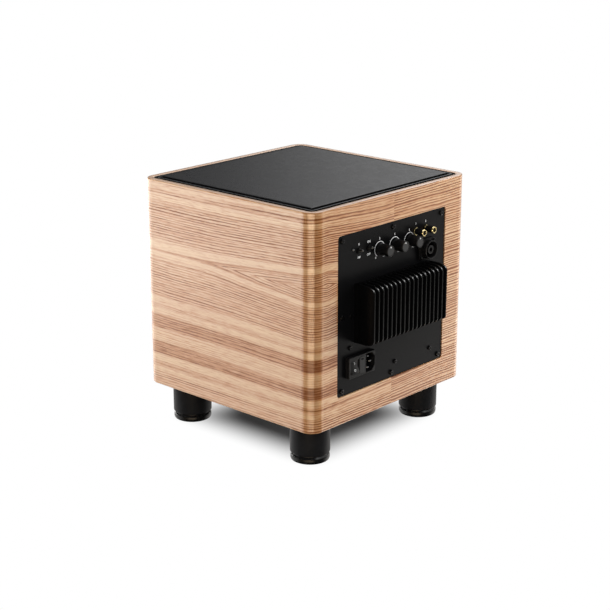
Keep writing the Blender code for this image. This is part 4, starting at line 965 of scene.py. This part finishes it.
speaker = {"place": (-0.064, 0.0525), "flange": (0.031, 0.026), "corner": 0.003, "thick": 0.0028,
    "radius": 0.0120, "bore": 0.0104, "post": 0.0056, "hole": 0.0027, "reach": 0.010, "floor": -0.006,
    "end": -0.009, "key": 0.0014, "keyTurns": (35, 215), "screwInset": 0.0033}


def makeSpeakerSocket(look):
    (middleX, middleZ), (sizeX, sizeZ) = look["place"], look["flange"]
    wide, bore, reach, post, hole, floor = (look[key] for key in ("radius", "bore", "reach", "post", "hole", "floor"))
    bm = slab(sizeX, sizeZ, 0.0003, look["thick"], look["corner"])
    soften(bm, 0.0004, 2, 40)
    bm = carve(bm, rod(bore + 0.0008, -0.01, 0.01, 64))
    barrel = lathe([(0, look["end"]), (wide, look["end"]), (wide, reach - 0.0005), (wide - 0.0004, reach),
        (bore + 0.0003, reach), (bore, reach - 0.0003), (bore, floor), (post, floor), (post, reach - 0.0018),
        (post - 0.0003, reach - 0.0015), (hole + 0.0003, reach - 0.0015), (hole, reach - 0.0018), (hole, floor),
        (0, floor)], 64)
    keys = bmesh.new()
    for turn in look["keyTurns"]:
        notch = slab(look["key"] * 2, 0.0022, -0.004, reach + 0.002)
        addInto(keys, notch, spin(radians(turn), "Z") @ shift(bore + 0.0003, 0, 0))
    addInto(bm, carve(barrel, keys))
    addPiece("speakerSocket", placed(bm, onPlate(*look["place"])), "texturedPlastic",
        "speaker_socket")
    lift = shift(0, look["thick"] - 0.0003, 0)
    for index, side in enumerate((-1, 1), 1):
        x, z = middleX - side * (sizeX / 2 - look["screwInset"]), middleZ + side * (sizeZ / 2 - look["screwInset"])
        addScrew(f"socketScrew{index}", 0.003, lift @ onPlate(x, z), head=0.0022, socket=0.0007, shank=0.0012)


makeSpeakerSocket(speaker)
print("sockets done")


rocker = {"place": (0.0749, -0.0651), "width": 0.0138, "height": 0.0168, "pivot": 0.002, "reach": 0.006,
    "tilt": 8.0, "mark": 0.00008}


def makeRocker(look):
    half, pivot, wide, mark = look["height"] / 2, look["pivot"], look["width"], look["mark"]
    bm = bmesh.new()
    side = [(-0.005, -half * 0.6), (-0.002, -half * 0.9), (pivot * 1.1, -half * 0.95), (pivot * 0.45, 0),
        (pivot * 1.1, half * 0.95), (-0.002, half * 0.9), (-0.005, half * 0.6)]
    face = bm.faces.new([bm.verts.new((-wide / 2, y, z)) for y, z in side])
    pushed = bmesh.ops.extrude_face_region(bm, geom=[face])["geom"]
    bmesh.ops.translate(bm, vec=(wide, 0, 0), verts=[v for v in pushed if isinstance(v, bmesh.types.BMVert)])
    bmesh.ops.recalc_face_normals(bm, faces=bm.faces)
    soften(bm, 0.0004, 3, 40)
    place = shift(look["place"][0], faceY + look["reach"] - pivot, plateZ + look["place"][1])
    place = place @ spin(radians(look["tilt"]), "X")
    addPiece("rockerSwitch", placed(bm, place), "satinPlastic", "rocker_switch", "rocker", 40)
    slope = atan2(pivot * 0.65, half * 0.95)
    marks = {"Bar": (slab(0.0005, 0.0026, 0.0, mark), 1), "Ring": (tube(0.0010, 0.0014, 0.0, mark, 24), -1)}
    for name, (shape, sign) in marks.items():
        spot = shift(0, pivot * 0.78 + 0.00002, sign * half * 0.5) @ spin(-sign * slope, "X")
        addPiece("rockerMark" + name, placed(shape, place @ spot @ turnRear), "whitePrint", body="rocker")


makeRocker(rocker)
print("mains module done")


woofer = {"steps": 96, "rim": 0.0703, "edge": 0.0765, "neck": 0.0195, "depth": 0.034, "curve": 0.86,
    "wall": 0.0016, "rest": 0.0015, "capRadius": 0.034, "capRise": 0.011, "capWall": 0.0013, "inner": 0.0768,
    "outer": 0.0878, "lip": 0.0105, "skin": 0.0017, "cloth": 0.0009, "clothFlat": 0.047, "clothWaves": 5,
    "clothRise": 0.0007, "flange": 0.105, "mouth": 0.0875, "flangeThick": 0.0045, "spokes": 6,
    "spoke": (0.0034, 0.017, 0.0, 0.044), "spokeLean": -34.0, "screws": 8, "screwRing": 0.1013}
basketNeck = ((0.0365, 0.059), (0.0536, 0.059), (0.0590, 0.0515), (0.048, 0.0515), (0.048, 0.0495),
    (0.0598, 0.0487), (0.0640, 0.0445), (0.0660, 0.0460), (0.060, 0.051), (0.057, 0.057), (0.057, 0.0615),
    (0.0365, 0.0615))
wooferPlace = shift(0, centreY, bottomZ)


def makeCone(look):
    rest, rim, neck, wide = look["rest"], look["rim"], look["neck"], look["capRadius"]
    count = 14
    front = [(look["edge"], rest), (rim, rest)]
    for part in (k / count for k in range(1, count + 1)):
        front.append((rim + (neck - rim) * part, rest + look["depth"] * part ** look["curve"]))
    back = [(radius, height + look["wall"]) for radius, height in reversed(front)]
    cone = lathe(front + back, look["steps"], closed=True)
    addPiece("wooferCone", placed(cone, wooferPlace), "coatedPulp", "cone", "woofer_cone", 40)
    seat = rest + look["depth"] * ((rim - wide) / (rim - neck)) ** look["curve"] - 0.0006
    turns = [pi / 2 * k / count for k in range(count)]
    outside = [(wide * cos(a), seat - look["capWall"] - look["capRise"] * sin(a)) for a in turns]
    inside = [(wide * 0.985 * cos(a), seat - look["capRise"] * sin(a)) for a in turns]
    tip = [(0, seat - look["capWall"] - look["capRise"])]
    cap = lathe(tip + outside[::-1] + inside + [(0, seat - look["capRise"])], look["steps"])
    addPiece("dustCap", placed(cap, wooferPlace), "coatedPulp", "dust_cap", "woofer_cone", 40)


def radialBlend(name, bm, finish, node, outer, inner):
    piece = newPiece(name, placed(bm, wooferPlace), finish, 50.0)
    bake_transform(piece, "cabinet", "woofer_cone", start=(outer, centreY, bottomZ), end=(inner, centreY, bottomZ))
    share = piece.data.attributes["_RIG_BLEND"].data
    for v in piece.data.vertices:  # the same share all round, by the distance from the axis
        t = (outer - hypot(v.co.x, v.co.y - centreY)) / (outer - inner)
        t = max(0.0, min(1.0, t))
        share[v.index].value = t * t * (3 - 2 * t)
    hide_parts(node)


def makeSuspension(look):
    # rubber roll between the frame and the cone
    inner, outer, skin, rim, neck = (look[key] for key in ("inner", "outer", "skin", "rim", "neck"))
    middle, roll, edge = (inner + outer) / 2, (outer - inner) / 2, outer + look["lip"]
    high = look["rest"] - 0.0003
    low, bulge = high - skin, roll + skin
    arcs = [pi * k / 18 for k in range(19)]
    outside = [(edge, low + 0.0003), (edge - 0.0004, low)]
    outside += [(middle + bulge * cos(a), low - bulge * sin(a)) for a in arcs] + [(rim, low)]
    inside = [(edge, high)] + [(middle + roll * cos(a), high - roll * 1.1 * sin(a)) for a in arcs] + [(rim, high)]
    ring = lathe(outside + inside[::-1], look["steps"], closed=True)
    radialBlend("surround", ring, "blackRubber", "surround", outer, inner)

    # corrugated centring cloth
    low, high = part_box("spider")
    thick, flat, count = look["cloth"], look["clothFlat"], 40
    level = high.z - bottomZ - thick
    under = [((high.x - low.x) / 2 - 0.0002, level)]
    for k in range(count + 1):
        wave = look["clothRise"] * (1 - cos(tau * look["clothWaves"] * k / count))
        under.append((flat + (neck + 0.0003 - flat) * k / count, level - wave))
    over = [(radius, height + thick) for radius, height in reversed(under)]
    cloth = lathe(under + over, look["steps"], closed=True)
    radialBlend("spiderCloth", cloth, "treatedCloth", "spider", flat, neck + 0.001)


def makeBasket(look):
    rest, mouth, flange = look["rest"], look["mouth"], look["flange"]
    top = rest + look["flangeThick"]
    basket = lathe([(mouth, rest), (flange - 0.0005, rest), (flange, rest + 0.0005), (flange, top),
        (mouth + 0.0049, top), (mouth + 0.0034, top + 0.0025), (mouth + 0.0010, top + 0.0085),
        (mouth - 0.0022, top + 0.0085), (mouth, top + 0.0025)], look["steps"], closed=True)
    addInto(basket, lathe(basketNeck, look["steps"], closed=True))
    lean = shift(mouth - 0.0003, 0, 0.0115) @ spin(radians(look["spokeLean"]), "Y")
    for k in range(look["spokes"]):
        leg = slab(*look["spoke"])
        soften(leg, 0.0008)
        addInto(basket, leg, spin(tau * k / look["spokes"], "Z") @ lean)
    addPiece("wooferFrame", placed(basket, wooferPlace), "blackSteel", "driver_basket")
    for k in range(look["screws"]):
        angle = tau * (k + 0.5) / look["screws"]
        spot = shift(look["screwRing"] * cos(angle), look["screwRing"] * sin(angle), rest)
        flip = wooferPlace @ spot @ spin(pi, "X")
        addScrew(f"wooferScrew{k + 1}", 0.0042, flip, head=0.0024, socket=0.0008, shank=0.0012)


makeCone(woofer)
makeSuspension(woofer)
makeBasket(woofer)

baffle = {"corner": 0.004, "bore": 0.0939, "step": 0.1053, "stepDepth": 0.0063}


def makeBaffle(look):
    low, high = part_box("bottom_baffle")
    bm = slab(high.x - low.x, high.y - low.y, low.z, high.z, look["corner"])
    mouth = lathe([(0, -0.01), (look["step"], -0.01), (look["step"], look["stepDepth"]),
        (look["bore"], look["stepDepth"]), (look["bore"], 0.03), (0, 0.03)], 96)
    bm = carve(placed(bm, shift(0, centreY, 0)), placed(mouth, wooferPlace))
    addPiece("bottomBaffle", bm, "blackBoardPaint", "bottom_baffle")


makeBaffle(baffle)
print("woofer done")


legend = {"lift": 0.00003, "thick": 0.00005, "size": 0.0037, "bold": 0.00010, "besideToggle": 0.0078,
    "overPhono": 0.0092, "scaleWords": (("5", 0.0, 0.0125), ("0", 0.0072, -0.0098), ("10", -0.0072, -0.0098))}
scale = {"radius": 0.0092, "width": 0.00090, "sweep": 300.0, "steps": 60}


def printWord(bm, word, x, z):
    text = bpy.data.curves.new("word", "FONT")
    text.body, text.size, text.align_x, text.align_y = word, legend["size"], "CENTER", "CENTER"
    text.extrude, text.offset, text.resolution_u = legend["thick"] / 2, legend["bold"], 3
    holder = addObject("word", text)
    letters = evaluated(holder)
    bpy.data.objects.remove(holder)
    bpy.data.curves.remove(text)
    addInto(bm, letters, onPlate(x, z) @ shift(0, 0, legend["lift"] + legend["thick"] / 2))


def printScale(bm, x):
    low, high = legend["lift"], legend["lift"] + legend["thick"]
    inner, outer = scale["radius"] - scale["width"] / 2, scale["radius"] + scale["width"] / 2
    sweep = radians(scale["sweep"])
    arc = bmesh.new()
    ring = [arc.verts.new((r, 0, h)) for r, h in ((inner, low), (outer, low), (outer, high), (inner, high))]
    cap = arc.faces.new(ring)
    bmesh.ops.spin(arc, geom=[cap] + list(cap.edges) + ring, cent=(0, 0, 0), axis=(0, 0, 1),
        steps=scale["steps"], angle=sweep)
    bmesh.ops.recalc_face_normals(arc, faces=arc.faces)
    addInto(bm, arc, onPlate(x, controlZ) @ spin((pi - sweep) / 2, "Z"))
    for word, across, up in legend["scaleWords"]:
        printWord(bm, word, x + across, controlZ + up)


def makeLegend():
    bm = bmesh.new()
    for x in controls.values():
        printScale(bm, x)
    for name, words in (("phase", ("0", "180")), ("mode", ("ON", "OFF"))):
        for word, sign in zip(words, (1, -1)):
            printWord(bm, word, toggles[name], toggleZ + sign * legend["besideToggle"])
    for word, x in zip("12", phonos.values()):
        printWord(bm, word, x, phonoZ + legend["overPhono"])
    addPiece("plateMarks", bm, "whitePrint")


makeLegend()
print("marks done")


solidFinish = {  # solids that are shown as they are
    "powderCoat": ["amp_plate"], "gasketFoam": ["plate_gasket"],
    "satinPlastic": ["fuse_drawer"], "fuseGlass": ["fuse"],
    "texturedPlastic": ["inlet_housing"] + ["pot_body_" + name for name in controls],
    "brightNickel": ["pot_shaft_" + name for name in controls],
    # the inlet pins sit in a recess: their dark nickel is painted shade
    "darkNickelAndShade": ["inlet_pin_line", "inlet_pin_neutral", "inlet_pin_earth"],
    "circuitBoard": ["amp_board", "control_board"], "ferrite": ["power_transformer", "driver_magnet"],
    "enamelledCopper": ["voice_coil"], "zincSteel": ["driver_top_plate", "driver_yoke"],
}
for finish, names in solidFinish.items():
    for name in names:
        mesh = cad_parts[name].data
        mesh.materials.clear()
        mesh.materials.append(finishes[finish])
print("solids dressed:", sum(map(len, solidFinish.values())))
